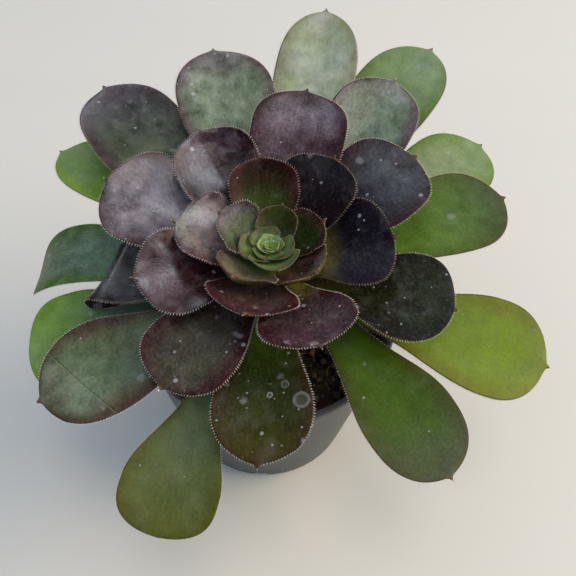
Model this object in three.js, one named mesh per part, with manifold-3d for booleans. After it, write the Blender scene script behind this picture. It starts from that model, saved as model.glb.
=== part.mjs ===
// A potted aeonium: a rosette of spoon-shaped leaves on a short stem, in a thin round nursery pot.
// Millimetres and degrees, +Z up. The origin is the middle of the pot's underside, and the plant faces -Y.
import * as THREE from "three";
import { mergeVertices } from "three/addons/utils/BufferGeometryUtils.js";
import Module from "manifold-3d";

const wasm = await Module();
wasm.setup();
const MERGE_TOLERANCE = 1e-4;

// Pot
const POT_HEIGHT = 65;
const POT_RIM_RADIUS = 45;
const POT_FOOT_RADIUS = 33;
const POT_WALL = 1.2;
const POT_FLOOR = 1.8;
const POT_RIM_BEAD = 0.6; // how far the rolled rim stands proud of the wall
const POT_RIM_DEPTH = 2.4;
const POT_RIM_ROUNDING = 0.5;
const POT_FOOT_CHAMFER = 1;
const POT_INNER_CORNER = 2;
const POT_SIDES = 48;
const DRAIN_SLOTS = 6;
const DRAIN_RADIUS = 3.2;
const DRAIN_INNER_END = 24;
const DRAIN_SIDES = 12;
const DRAIN_OVERRUN = 4; // how far a slot's cutter passes the foot

// Soil
const SOIL_LEVEL = 56;
const SOIL_RELIEF = 1.0;
const SOIL_EDGE_DROP = 3; // the soil's side ends this far below its mean level
const SOIL_EDGE_INSET = 0.4;
const SOIL_CORNER = 2.2; // chamfer that clears the pot's inner corner
const SOIL_SECTORS = 36;
const SOIL_RINGS = 8;
const GAP = 0.3; // clearance between neighbouring pieces

// Stem: it leans, so it leaves the soil right of the pot's middle and ends under the heart
const STEM_FOOT_HEIGHT = 44;
const STEM_TOP_HEIGHT = 93.2;
const STEM_RADIUS = 6.6;
const STEM_TOP_RADIUS = 4.2;
const STEM_TAPER_START = 84;
const STEM_SIDES = 16;
const STEM_STEPS = 10;
const HOLE_STEPS = 4;
const HOLE_OVERRUN = 6;
const APEX = { x: 1, y: 0, z: 96 };
const STEM_LEAN = { x: 5, y: 1, over: 40 }; // shift of the axis for each 40 mm below the apex

// Leaf spiral: each younger leaf stands higher on the stem
const FOOT_HEIGHT_OF_FIRST = 93.5; // leaf 8
const FOOT_DROP_PER_LEAF = 0.58;
const FIRST_GROWN_LEAF = 8;
const FIRST_DARK_LEAF = 13;
const FIRST_GREEN_LEAF = 28;

// Leaf shape
const LEAF_STATIONS = [0, 0.14, 0.28, 0.41, 0.53, 0.64, 0.735, 0.815, 0.88, 0.93, 0.965, 0.988, 1];
const LEAF_ACROSS = [-1, -0.55, 0, 0.55, 1];
const MIDRIB_STEPS = 60;
const FOOT_THICKNESS = 1.9;
const BLADE_THICKNESS = 1.5;
const MARGIN_THICKNESS = 0.8;
const CUSP_LENGTH = 2.0;
const CUSP_HALF_WIDTH = 0.5;
const UPPER_SHARE = 0.4; // share of the thickness above the blade's middle surface
const THIN_FROM = 0.9; // share of the length where the blade reaches its own thickness
const END_FULLNESS = 2.3; // higher makes the far end squarer
const CURL_START = 0.6; // share of the length where a curled leaf starts to bend down
const CURL_EASE = 1.3;

// Shape by rank, as [rank, value] points joined by straight lines: the foot's share of the width, where along its
// length a leaf is widest, how narrow its waist is, and how deeply it is cupped across
const FOOT_SHARE_BY_RANK = [[8, 0.46], [14, 0.36], [22, 0.28], [40, 0.24]];
const PEAK_BY_RANK = [[8, 0.6], [20, 0.7], [40, 0.78]];
const WAIST_BY_RANK = [[8, 1.2], [20, 1.4], [40, 1.7]];
const CUP_BY_RANK = [[8, 0.38], [13, 0.26], [14, 0.14], [22, 0.07]];

// Grown leaves by their rank in the spiral, youngest first. azimuth, reach and tip give the end of the blade: its
// direction and distance from the stem's axis, and its height. bow is how far the blade arches over from foot to
// tip (negative where it turns up), curl how far its end bends down past that, roll turns its face about its
// length, sweep bends it sideways and footTurn moves its foot round the stem.
const GROWN_LEAVES = [
  { rank: 8, azimuth: 158, reach: 16.8, tip: 104, width: 19, bow: -35 },
  { rank: 9, azimuth: 27, reach: 18, tip: 100, width: 17, bow: -32 },
  { rank: 10, azimuth: 240, reach: 20, tip: 102, width: 19.5, bow: -45 },
  { rank: 11, azimuth: 100, reach: 28, tip: 108, width: 22, bow: -15 },
  { rank: 12, azimuth: 318, reach: 18, tip: 99, width: 20.5, bow: -30 },
  { rank: 13, azimuth: 171, reach: 30, tip: 102, width: 23.5, bow: 15, footTurn: 5 },
  { rank: 14, azimuth: 57, reach: 34, tip: 108, width: 26, bow: 0, footTurn: -5 },
  { rank: 15, azimuth: 256, reach: 28, tip: 98, width: 28, bow: -20 },
  { rank: 16, azimuth: 126, reach: 44, tip: 111, width: 28, bow: 0, roll: -8, footTurn: 5 },
  { rank: 17, azimuth: 7, reach: 38, tip: 98, width: 31, bow: 0, roll: 15 },
  { rank: 18, azimuth: 201, reach: 43, tip: 98, width: 30, bow: 10, roll: -30, footTurn: 5 },
  { rank: 19, azimuth: 81, reach: 56, tip: 114, width: 32, bow: 5 },
  { rank: 20, azimuth: 294, reach: 37, tip: 93, width: 30, bow: 10 },
  { rank: 21, azimuth: 161, reach: 57, tip: 104, width: 34, bow: 5, roll: -15 },
  { rank: 22, azimuth: 37, reach: 56, tip: 106, width: 33.5, bow: 5, roll: 8, footTurn: -5 },
  { rank: 23, azimuth: 237, reach: 54, tip: 86, width: 31, bow: 10 },
  { rank: 24, azimuth: 108, reach: 84, tip: 112, width: 35, bow: 0 },
  { rank: 25, azimuth: 345, reach: 58, tip: 88, width: 32, bow: 10, roll: 8 },
  { rank: 26, azimuth: 189, reach: 54, tip: 84, width: 29, bow: -10, curl: 160, curlFrom: 0.74, sweep: 12 },
  { rank: 27, azimuth: 60, reach: 78, tip: 111, width: 32, bow: -10, roll: 5 },
  { rank: 28, azimuth: 268.5, reach: 64, tip: 78, width: 28.5, bow: 5 },
  { rank: 29, azimuth: 135, reach: 91, tip: 105, width: 36, bow: 0, sweep: 10 },
  { rank: 30, azimuth: 20, reach: 80, tip: 95, width: 33, bow: 5, roll: 5 },
  { rank: 31, azimuth: 216, reach: 81, tip: 79, width: 32, bow: 10, roll: -5, sweep: 10 },
  { rank: 32, azimuth: 82, reach: 100, tip: 118, width: 30, bow: -15 },
  { rank: 33, azimuth: 309, reach: 82, tip: 75, width: 29.5, bow: 10, footTurn: 40 },
  { rank: 34, azimuth: 176, reach: 83, tip: 66, width: 27, bow: 5, curl: 75, sweep: -10, footTurn: 10 },
  { rank: 35, azimuth: 38, reach: 91, tip: 93, width: 31, bow: 10, roll: 5, sweep: -10 },
  { rank: 36, azimuth: 250.5, reach: 86, tip: 66, width: 28.5, bow: 25, sweep: -18, peak: 0.83, waist: 2.3 },
  { rank: 37, azimuth: 150, reach: 91, tip: 91, width: 27, bow: 10, sweep: -10, footTurn: -10 },
  { rank: 38, azimuth: 343, reach: 89, tip: 75, width: 34, bow: 10, roll: 15 },
  { rank: 39, azimuth: 200.5, reach: 81, tip: 74, width: 33, bow: 15, roll: -8, sweep: 12 },
  { rank: 40, azimuth: 58.5, reach: 101, tip: 112, width: 33, bow: -15, sweep: 24 },
];

// Heart leaves, the same way: the bud's own small leaves, grown together at the growing point
const HEART_LEAVES = [
  { rank: -3, azimuth: 228, reach: 1.6, tip: 97.2, width: 3.4, bow: -20 },
  { rank: -2, azimuth: 91, reach: 2.2, tip: 97.4, width: 4.2, bow: -25 },
  { rank: -1, azimuth: 314, reach: 2.9, tip: 97.4, width: 5.2, bow: -30 },
  { rank: 0, azimuth: 186, reach: 4, tip: 97.6, width: 6.4, bow: -35 },
  { rank: 1, azimuth: 60, reach: 4.4, tip: 97.4, width: 7.6, bow: -40 },
  { rank: 2, azimuth: 260, reach: 6.8, tip: 98, width: 9, bow: -45 },
  { rank: 3, azimuth: 123, reach: 7.2, tip: 98.2, width: 10, bow: -45 },
  { rank: 4, azimuth: 330, reach: 7.8, tip: 98.2, width: 11.5, bow: -45 },
  { rank: 5, azimuth: 208, reach: 10.2, tip: 98.6, width: 13, bow: -45 },
  { rank: 6, azimuth: 78, reach: 15, tip: 100, width: 13, bow: -45 },
  { rank: 7, azimuth: 284, reach: 12.4, tip: 99.8, width: 15.5, bow: -45 },
];
const HEART_FOOT_HEIGHT = 94.2;
const HEART_FOOT_RISE = [[-3, 1.4], [7, 0]]; // by rank
const HEART_FOOT_RADIUS = 0.4;
const HEART_CORE_RADIUS = 4.2;
const HEART_CORE_TOP_RADIUS = 2.5;
const HEART_CORE_HEIGHT = 2.2;
const HEART_LEAF_SHAPE = {
  stations: [0, 0.25, 0.48, 0.68, 0.84, 0.95, 1],
  cusp: 0.45,
  thickness: 0.9,
  margin: 0.6,
  footThickness: 0.9,
  footShare: 0.7,
  peak: 0.55,
  waist: 1.1,
  cup: 0.5,
};

const MATERIALS = {
  pot: new THREE.MeshStandardMaterial({ color: 0x2b2d2e, roughness: 0.5, metalness: 0 }),
  soil: new THREE.MeshStandardMaterial({ color: 0x1d1410, roughness: 0.95, metalness: 0 }),
  stem: new THREE.MeshStandardMaterial({ color: 0x5b4a36, roughness: 0.85, metalness: 0 }),
  bud: new THREE.MeshStandardMaterial({ color: 0x6f9a4a, roughness: 0.5, metalness: 0 }),
  innerLeaf: new THREE.MeshStandardMaterial({ color: 0x47552f, roughness: 0.45, metalness: 0 }),
  darkLeaf: new THREE.MeshStandardMaterial({ color: 0x3a2630, roughness: 0.4, metalness: 0 }),
  greenLeaf: new THREE.MeshStandardMaterial({ color: 0x4f6b2c, roughness: 0.45, metalness: 0 }),
};

const radians = THREE.MathUtils.degToRad;
const lerp = THREE.MathUtils.lerp;

/** Value at x of a line through (x0, y0) and (x1, y1), held at its ends. */
function ramp(x, x0, x1, y0, y1) {
  return lerp(y0, y1, THREE.MathUtils.clamp((x - x0) / (x1 - x0), 0, 1));
}

/** Value at x of a line through [x, value] points, held at its ends. */
function along(points, x) {
  let k = 1;
  while (k < points.length - 1 && x > points[k][0]) k++;
  return ramp(x, points[k - 1][0], points[k][0], points[k - 1][1], points[k][1]);
}

/** A closed body from vertices and triangles. */
function solid(positions, triangles) {
  const geometry = new THREE.BufferGeometry();
  geometry.setAttribute("position", new THREE.Float32BufferAttribute(positions, 3));
  geometry.setIndex(triangles);
  return geometry;
}

/** A three.js geometry as a manifold, with its shared vertices merged. */
function toManifold(geometry) {
  const bare = geometry.clone();
  bare.deleteAttribute("normal");
  bare.deleteAttribute("uv");
  const merged = mergeVertices(bare, MERGE_TOLERANCE);
  return new wasm.Manifold(new wasm.Mesh({
    numProp: 3,
    vertProperties: new Float32Array(merged.attributes.position.array),
    triVerts: new Uint32Array(merged.index.array),
  }));
}

/** A manifold as a three.js geometry. */
function toGeometry(manifold) {
  const mesh = manifold.getMesh();
  return solid(Array.from(mesh.vertProperties), Array.from(mesh.triVerts));
}

/** The stem's axis at a height. */
function stemAxis(z) {
  const share = Math.max(0, (APEX.z - z) / STEM_LEAN.over);
  return new THREE.Vector3(APEX.x + STEM_LEAN.x * share, APEX.y + STEM_LEAN.y * share, z);
}

/** The stem's radius at a height: even, then tapered to the growing point. */
function stemRadius(z) {
  return ramp(z, STEM_TAPER_START, STEM_TOP_HEIGHT, STEM_RADIUS, STEM_TOP_RADIUS);
}

function potRadius(z) {
  return lerp(POT_FOOT_RADIUS, POT_RIM_RADIUS - POT_RIM_BEAD, z / POT_HEIGHT);
}

/** The pot: a turned thin cup with a rolled rim, and drain slots cut through the corner of its foot. */
function makePot() {
  const rimStart = POT_HEIGHT - POT_RIM_DEPTH;
  const profile = [
    [0, 0],
    [POT_FOOT_RADIUS - POT_FOOT_CHAMFER, 0],
    [potRadius(POT_FOOT_CHAMFER), POT_FOOT_CHAMFER],
    [potRadius(rimStart), rimStart],
    [POT_RIM_RADIUS, rimStart + POT_RIM_ROUNDING],
    [POT_RIM_RADIUS, POT_HEIGHT - POT_RIM_ROUNDING],
    [POT_RIM_RADIUS - POT_RIM_ROUNDING, POT_HEIGHT],
    [potRadius(POT_HEIGHT) - POT_WALL, POT_HEIGHT],
    [potRadius(POT_FLOOR + POT_INNER_CORNER) - POT_WALL, POT_FLOOR + POT_INNER_CORNER],
    [potRadius(POT_FLOOR) - POT_WALL - POT_INNER_CORNER, POT_FLOOR],
    [0, POT_FLOOR],
  ].map(([r, z]) => new THREE.Vector2(r, z));
  const cup = new THREE.LatheGeometry(profile, POT_SIDES);
  cup.rotateX(Math.PI / 2);
  let body = toManifold(cup);
  const slotLength = POT_FOOT_RADIUS + DRAIN_OVERRUN - DRAIN_INNER_END;
  for (let i = 0; i < DRAIN_SLOTS; i++) {
    const slot = new THREE.CylinderGeometry(DRAIN_RADIUS, DRAIN_RADIUS, slotLength, DRAIN_SIDES);
    slot.rotateZ(Math.PI / 2);
    slot.translate(DRAIN_INNER_END + slotLength / 2, 0, 0);
    slot.rotateZ(((i + 0.5) / DRAIN_SLOTS) * 2 * Math.PI);
    body = body.subtract(toManifold(slot));
  }
  return toGeometry(body);
}

/** Height of the soil's lumpy top at a place: three crossed waves. */
function soilHeight(x, y) {
  const waves = Math.sin(x * 0.55 + 0.8 * Math.sin(y * 0.31))
    + Math.sin(y * 0.63 + 1.1 * Math.sin(x * 0.27) + 2)
    + Math.sin((x + y) * 0.38 + 4);
  return SOIL_LEVEL + (SOIL_RELIEF * waves) / 3;
}

/** The soil: fills the pot, with a lumpy top and a plain hole that the stem stands in. */
function makeSoil() {
  const floor = POT_FLOOR + GAP;
  const inner = (z) => potRadius(z) - POT_WALL - GAP;
  const positions = [0, 0, floor];
  const ring = (radius, height) => {
    for (let i = 0; i < SOIL_SECTORS; i++) {
      const a = (i / SOIL_SECTORS) * 2 * Math.PI;
      const [x, y] = [radius * Math.cos(a), radius * Math.sin(a)];
      positions.push(x, y, height ?? soilHeight(x, y));
    }
  };
  ring(inner(floor) - SOIL_CORNER, floor);
  ring(inner(floor + SOIL_CORNER), floor + SOIL_CORNER);
  const wallTop = SOIL_LEVEL - SOIL_EDGE_DROP;
  ring(inner(wallTop), wallTop);
  for (let k = SOIL_RINGS; k > 0; k--) ring(((inner(SOIL_LEVEL) - SOIL_EDGE_INSET) * k) / SOIL_RINGS);
  positions.push(0, 0, soilHeight(0, 0));
  const sideRings = 3;
  const rings = sideRings + SOIL_RINGS;
  const top = 1 + rings * SOIL_SECTORS;
  const at = (r, i) => 1 + r * SOIL_SECTORS + (i % SOIL_SECTORS);
  const triangles = [];
  for (let i = 0; i < SOIL_SECTORS; i++) {
    triangles.push(0, at(0, i + 1), at(0, i));
    for (let r = 0; r < rings - 1; r++) {
      triangles.push(at(r, i), at(r, i + 1), at(r + 1, i + 1), at(r, i), at(r + 1, i + 1), at(r + 1, i));
    }
    triangles.push(at(rings - 1, i), at(rings - 1, i + 1), top);
  }
  const hole = tube(STEM_FOOT_HEIGHT - GAP, SOIL_LEVEL + HOLE_OVERRUN, HOLE_STEPS, (z) => stemRadius(z) + GAP);
  return toGeometry(toManifold(solid(positions, triangles)).subtract(toManifold(hole)));
}

/** A round bar along the stem's axis from one height to another. */
function tube(low, high, steps, radiusAt) {
  const positions = [];
  for (let k = 0; k <= steps; k++) {
    const z = lerp(low, high, k / steps);
    const centre = stemAxis(z);
    for (let i = 0; i < STEM_SIDES; i++) {
      const a = (i / STEM_SIDES) * 2 * Math.PI;
      positions.push(centre.x + radiusAt(z) * Math.cos(a), centre.y + radiusAt(z) * Math.sin(a), z);
    }
  }
  positions.push(...stemAxis(low).toArray(), ...stemAxis(high).toArray());
  const bottom = (steps + 1) * STEM_SIDES;
  const triangles = [];
  for (let i = 0; i < STEM_SIDES; i++) {
    const next = (i + 1) % STEM_SIDES;
    triangles.push(bottom, next, i);
    for (let k = 0; k < steps; k++) {
      const [a, b] = [k * STEM_SIDES, (k + 1) * STEM_SIDES];
      triangles.push(a + i, a + next, b + next, a + i, b + next, b + i);
    }
    triangles.push(steps * STEM_SIDES + i, steps * STEM_SIDES + next, bottom + 1);
  }
  return solid(positions, triangles);
}

/** The midrib as points with their directions. Heading turns evenly from foot to tip, elevation evenly and then
 * with the curl, and the length is set so that the far end lies at the tip. */
function midrib(leaf, foot, tip, steps = MIDRIB_STEPS) {
  const chord = tip.clone().sub(foot);
  const level = Math.hypot(chord.x, chord.y);
  const elevation = Math.atan2(chord.z, level);
  const heading = Math.atan2(chord.y, chord.x);
  const sweep = radians(leaf.sweep ?? 0);
  const [bow, curl] = [radians(leaf.bow), radians(leaf.curl ?? 0)];
  const drop = (s) => bow * s + curl * ramp(s, leaf.curlFrom ?? CURL_START, 1, 0, 1) ** CURL_EASE;
  let [ahead, down] = [0, 0];
  for (let k = 0; k < steps; k++) {
    ahead += Math.cos(drop((k + 0.5) / steps));
    down += Math.sin(drop((k + 0.5) / steps));
  }
  const footElevation = elevation + Math.atan2(down, ahead);
  const frames = [];
  const at = new THREE.Vector3();
  for (let k = 0; k <= steps; k++) {
    const s = k / steps;
    const e = footElevation - drop(s);
    const h = heading + sweep / 2 - sweep * s;
    const forward = new THREE.Vector3(Math.cos(e) * Math.cos(h), Math.cos(e) * Math.sin(h), Math.sin(e));
    const side = new THREE.Vector3(-Math.sin(h), Math.cos(h), 0);
    if (k > 0) at.addScaledVector(forward.clone().add(frames[k - 1].forward), 0.5 / steps);
    const up = forward.clone().cross(side);
    const roll = radians(leaf.roll ?? 0) * s;
    const turnedSide = side.clone().multiplyScalar(Math.cos(roll)).addScaledVector(up, Math.sin(roll));
    const turnedUp = up.clone().multiplyScalar(Math.cos(roll)).addScaledVector(side, -Math.sin(roll));
    frames.push({ s, forward, side: turnedSide, up: turnedUp, point: at.clone() });
  }
  const length = chord.length() / at.length();
  for (const frame of frames) frame.point.multiplyScalar(length).add(foot);
  return frames;
}

/** The frame at s along a midrib, between its two nearest points. */
function frameAt(frames, s) {
  const place = s * (frames.length - 1);
  const k = Math.min(Math.floor(place), frames.length - 2);
  const t = place - k;
  const mix = (key) => frames[k][key].clone().lerp(frames[k + 1][key], t);
  return {
    point: mix("point"),
    forward: mix("forward").normalize(),
    side: mix("side").normalize(),
    up: mix("up").normalize(),
  };
}

/** Half width at s as a share of the widest: a narrow foot that swells to the peak, then a round end. */
function outline(leaf, s) {
  if (s < leaf.peak) {
    const u = Math.sin((Math.PI / 2) * (s / leaf.peak) ** leaf.waist) ** leaf.waist;
    return leaf.footShare + (1 - leaf.footShare) * u;
  }
  return Math.sqrt(Math.max(0, 1 - ((s - leaf.peak) / (1 - leaf.peak)) ** END_FULLNESS));
}

/** One leaf: a closed blade round its midrib, cupped across, thickest in the middle, with a small point. */
function makeLeaf(leaf, foot, tip) {
  const frames = midrib(leaf, foot, tip);
  const positions = [];
  const columns = LEAF_ACROSS.length;
  for (const s of leaf.stations) {
    const frame = frameAt(frames, s);
    const isTip = s === 1;
    const half = isTip ? CUSP_HALF_WIDTH * leaf.cusp : (leaf.width / 2) * outline(leaf, s);
    const centre = frame.point.addScaledVector(frame.forward, isTip ? CUSP_LENGTH * leaf.cusp : 0);
    const middle = isTip ? leaf.margin : ramp(s, 0, THIN_FROM, leaf.footThickness, leaf.thickness);
    for (const face of [UPPER_SHARE, UPPER_SHARE - 1]) {
      for (const t of LEAF_ACROSS) {
        const across = half * t;
        const lift = (leaf.cup * across * across) / (leaf.width / 2);
        const thick = lerp(middle, leaf.margin, t * t);
        const p = centre.clone().addScaledVector(frame.side, across);
        positions.push(...p.addScaledVector(frame.up, lift + face * thick).toArray());
      }
    }
  }
  const rows = leaf.stations.length;
  const top = (k, j) => k * 2 * columns + j;
  const under = (k, j) => k * 2 * columns + columns + j;
  const triangles = [];
  const quad = (a, b, c, d) => triangles.push(a, b, c, a, c, d);
  for (let k = 0; k < rows - 1; k++) {
    for (let j = 0; j < columns - 1; j++) {
      quad(top(k, j), top(k + 1, j), top(k + 1, j + 1), top(k, j + 1));
      triangles.push(under(k, j), under(k + 1, j + 1), under(k + 1, j));
      triangles.push(under(k, j), under(k, j + 1), under(k + 1, j + 1));
    }
    quad(under(k, 0), under(k + 1, 0), top(k + 1, 0), top(k, 0));
    const e = columns - 1;
    quad(top(k, e), top(k + 1, e), under(k + 1, e), under(k, e));
  }
  for (let j = 0; j < columns - 1; j++) {
    quad(under(0, j), top(0, j), top(0, j + 1), under(0, j + 1));
    const last = rows - 1;
    quad(top(last, j), under(last, j), under(last, j + 1), top(last, j + 1));
  }
  return solid(positions, triangles);
}

/** A grown leaf's full sizes: the row's own, and those that follow from its rank. */
function grownLeaf(row) {
  return {
    stations: LEAF_STATIONS,
    cusp: 1,
    thickness: BLADE_THICKNESS,
    margin: MARGIN_THICKNESS,
    footThickness: FOOT_THICKNESS,
    footShare: along(FOOT_SHARE_BY_RANK, row.rank),
    peak: along(PEAK_BY_RANK, row.rank),
    waist: along(WAIST_BY_RANK, row.rank),
    cup: along(CUP_BY_RANK, row.rank),
    footTurn: 0,
    ...row,
  };
}

/** A point at an azimuth and a distance from the stem's axis. */
function fromAxis(azimuth, distance, axisHeight, z) {
  const a = radians(azimuth);
  const axis = stemAxis(axisHeight);
  return new THREE.Vector3(axis.x + distance * Math.cos(a), axis.y + distance * Math.sin(a), z);
}

/** A grown leaf: its foot stands just clear of the stem, further out where it climbs steeply or is turned. */
function makeGrownLeaf(row) {
  const leaf = grownLeaf(row);
  const footHeight = FOOT_HEIGHT_OF_FIRST - FOOT_DROP_PER_LEAF * (leaf.rank - FIRST_GROWN_LEAF);
  const tip = fromAxis(leaf.azimuth, leaf.reach, footHeight, leaf.tip);
  const climb = Math.atan2(leaf.tip - footHeight, leaf.reach) + radians(leaf.bow) / 2;
  const climbClearance = Math.abs(Math.sin(climb)) * leaf.footThickness * (1 - UPPER_SHARE);
  const turnClearance = Math.sin(radians(Math.abs(leaf.footTurn))) * (leaf.footShare * leaf.width) / 2;
  const footReach = stemRadius(footHeight) + GAP + climbClearance + turnClearance;
  const foot = fromAxis(leaf.azimuth + leaf.footTurn, footReach, footHeight, footHeight);
  return makeLeaf(leaf, foot, tip);
}

/** The heart: a small core on the stem's end, with the bud's leaves grown out of it, fused in one body. */
function makeHeart() {
  const low = STEM_TOP_HEIGHT + GAP;
  const high = low + HEART_CORE_HEIGHT;
  const coreRadius = (z) => ramp(z, low, high, HEART_CORE_RADIUS, HEART_CORE_TOP_RADIUS);
  let body = toManifold(tube(low, high, 1, coreRadius));
  for (const row of HEART_LEAVES) {
    const leaf = { ...HEART_LEAF_SHAPE, ...row };
    const footHeight = HEART_FOOT_HEIGHT + along(HEART_FOOT_RISE, leaf.rank);
    const foot = fromAxis(leaf.azimuth, HEART_FOOT_RADIUS, footHeight, footHeight);
    const tip = fromAxis(leaf.azimuth, leaf.reach, footHeight, leaf.tip);
    body = body.add(toManifold(makeLeaf(leaf, foot, tip)));
  }
  return toGeometry(body);
}

const plant = new THREE.Group();

function add(name, geometry, material) {
  const mesh = new THREE.Mesh(geometry, material);
  mesh.name = name;
  plant.add(mesh);
}

add("pot", makePot(), MATERIALS.pot);
add("soil", makeSoil(), MATERIALS.soil);
add("stem", tube(STEM_FOOT_HEIGHT, STEM_TOP_HEIGHT, STEM_STEPS, stemRadius), MATERIALS.stem);
add("heart", makeHeart(), MATERIALS.bud);
for (const row of GROWN_LEAVES) {
  const youngOrDark = row.rank < FIRST_DARK_LEAF ? MATERIALS.innerLeaf : MATERIALS.darkLeaf;
  const material = row.rank < FIRST_GREEN_LEAF ? youngOrDark : MATERIALS.greenLeaf;
  add(`leaf_${String(row.rank).padStart(2, "0")}`, makeGrownLeaf(row), material);
}

export default plant;
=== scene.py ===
"""Dresses the potted aeonium: fine leaves with fringed margins, the heart, bark, potting mix and the pot's
plastic.

Sizes are millimetres until a mesh is made, and the frame's own axes are used throughout: +Z up, -Y to the
front.
"""
import logging
import math
from dataclasses import dataclass
from enum import Enum

import bmesh
import bpy
import numpy as np
from mathutils import Matrix


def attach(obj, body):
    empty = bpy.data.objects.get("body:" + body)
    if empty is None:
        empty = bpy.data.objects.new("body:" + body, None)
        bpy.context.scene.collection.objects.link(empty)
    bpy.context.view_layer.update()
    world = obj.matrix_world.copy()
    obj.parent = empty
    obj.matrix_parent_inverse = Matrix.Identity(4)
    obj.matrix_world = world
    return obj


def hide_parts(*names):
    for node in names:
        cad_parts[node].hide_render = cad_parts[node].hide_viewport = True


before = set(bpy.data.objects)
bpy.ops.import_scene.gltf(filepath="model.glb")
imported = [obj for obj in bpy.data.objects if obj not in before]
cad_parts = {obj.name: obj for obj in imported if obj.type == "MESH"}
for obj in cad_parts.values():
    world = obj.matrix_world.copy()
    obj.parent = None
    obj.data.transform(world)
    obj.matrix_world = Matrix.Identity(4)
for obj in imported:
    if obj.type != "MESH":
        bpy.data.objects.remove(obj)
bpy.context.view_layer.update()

log = logging.getLogger("aeonium")

MM = 0.001
BODY = "root"
Colour = tuple[float, float, float]


class Slot(Enum):
    """The record's material slots."""

    POT = "pot"
    SOIL = "soil"
    STEM = "stem"
    BUD = "bud"
    INNER_LEAF = "inner_leaf"
    DARK_LEAF = "dark_leaf"
    GREEN_LEAF = "green_leaf"


class Skin(Enum):
    """How a leaf's skin takes the light."""

    WAXY = "waxy_skin"
    SATIN = "satin_skin"


# Leaf colours as they look on screen, 0 to 255

LIME = (110, 132, 14)
FRESH_GREEN = (90, 118, 32)
LEAF_GREEN = (62, 86, 8)
PALE_GREEN = (120, 136, 88)
SEA_GREEN = (92, 110, 78)
BLUE_GREEN = (58, 84, 56)
GREY_GREEN = (72, 84, 50)
DEEP_GREEN = (38, 50, 4)
OLIVE = (70, 64, 4)
DARK_OLIVE = (32, 32, 8)
SLATE_GREEN = (38, 46, 28)
BROWN = (64, 36, 24)
DARK_BROWN = (36, 18, 8)
MAROON = (62, 16, 22)
DEEP_MAROON = (46, 10, 14)
PURPLE_BLACK = (28, 12, 18)
BLUE_BLACK = (20, 14, 26)
SLATE = (40, 40, 46)
DUSKY_PURPLE = (70, 44, 54)
DUSKY_ROSE = (104, 78, 60)
LILAC_GREY = (104, 92, 100)
BEIGE_PINK = (128, 106, 100)
ROSE = (118, 58, 48)
RED_BROWN = (84, 34, 28)
OLIVE_BEIGE = (100, 92, 60)
OLIVE_GREEN = (72, 78, 16)
ASH = (50, 48, 42)
OLIVE_GREY = (62, 58, 40)
SAGE = (128, 132, 118)
STEEL = (78, 82, 86)
YELLOW_OLIVE = (112, 104, 12)
# Pale wax grey of the specks, rings, dust and bloom, also used for the painted sheen in the middle of the
# blades
WAX_AND_SHEEN = (176, 174, 178)
HAIR = (236, 224, 212)
WHITE_HAIR = (255, 250, 240)
DIM_HAIR = (190, 172, 160)

# The leaves' own layers of the patterns' space lie this far apart, in mm, so that no two leaves look alike

LAYER_STEP = 40.0

# Large odd numbers and shifts that spread a lattice corner's place and its seed into an even scatter of
# values

CORNER_PRIMES = (73856093, 19349663, 83492791)
SEED_PRIME = 26544357
MIXING_PRIME = 1274126177
FIRST_SHIFT = 13
LAST_SHIFT = 16
KEY_BITS = 0xFFFFFFFF
VALUE_BITS = 0xFFFF


def linear(colour: Colour) -> np.ndarray:
    """Linear light of a screen colour given on the 0 to 255 scale.

    Args:
        colour: red, green and blue as seen on screen.

    Returns:
        The three channels as linear light, 0 to 1.
    """
    share = np.array(colour, float) / 255
    return np.where(share <= 0.04045, share / 12.92, ((share + 0.055) / 1.055) ** 2.4)


def opaque(colour: Colour) -> tuple[float, ...]:
    """Linear light of a screen colour with full cover, as a node's colour socket takes it."""
    return (*linear(colour), 1.0)


def ramp(x: np.ndarray, x0: float, x1: float, y0: float, y1: float) -> np.ndarray:
    """Value at x of the line through (x0, y0) and (x1, y1), held at its ends."""
    return y0 + (y1 - y0) * np.clip((x - x0) / (x1 - x0), 0, 1)


def smooth(x: np.ndarray, low: float, high: float) -> np.ndarray:
    """Zero below low, one above high, and an even S-curve between them."""
    t = np.clip((x - low) / (high - low), 0, 1)
    return t * t * (3 - 2 * t)


def mixed(a: np.ndarray, b: np.ndarray, share: np.ndarray) -> np.ndarray:
    """Colours a turned towards b by a share that has one value for each point."""
    share = np.asarray(share)[..., None]
    return a * (1 - share) + b * share


def lattice_noise(points: np.ndarray, size: float, seed: int) -> np.ndarray:
    """Smooth random relief: each corner of a cubic lattice has a random value, and a point takes the blend
    of the eight corners round it, weighted by the S-curve of its place in the cell.

    Args:
        points: array of places, its last axis x, y, z.
        size: edge of a lattice cell.
        seed: chooses another pattern.

    Returns:
        One value for each point, from -1 to 1.
    """
    place = points / size
    cell = np.floor(place).astype(np.int64)
    inside = place - cell
    inside = inside * inside * (3 - 2 * inside)
    total = np.zeros(points.shape[:-1])
    for corner in np.ndindex(2, 2, 2):
        x, y, z = np.moveaxis((cell + np.array(corner)) * np.array(CORNER_PRIMES), -1, 0)
        key = x ^ y ^ z ^ (seed * SEED_PRIME)
        key = (key ^ (key >> FIRST_SHIFT)) * MIXING_PRIME & KEY_BITS
        value = ((key ^ (key >> LAST_SHIFT)) & VALUE_BITS) / (VALUE_BITS / 2) - 1
        weight = np.prod(np.where(np.array(corner, bool), inside, 1 - inside), axis=-1)
        total += value * weight
    return total


def rough_noise(points: np.ndarray, size: float, seed: int, octaves: int = 4) -> np.ndarray:
    """Sum of lattice noises, each half the size and half the height of the one before."""
    return sum(lattice_noise(points, size / 2**k, seed + k) / 2**k for k in range(octaves))


def flat_spots(x: np.ndarray, y: np.ndarray) -> np.ndarray:
    """Places of a flat pattern, at z = 0, for the noises to read."""
    return np.stack([x, y, np.zeros_like(x)], -1)


def unit(vectors: np.ndarray) -> np.ndarray:
    """The vectors, one in each row, made one long."""
    return vectors / np.linalg.norm(vectors, axis=1)[:, None]


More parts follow.
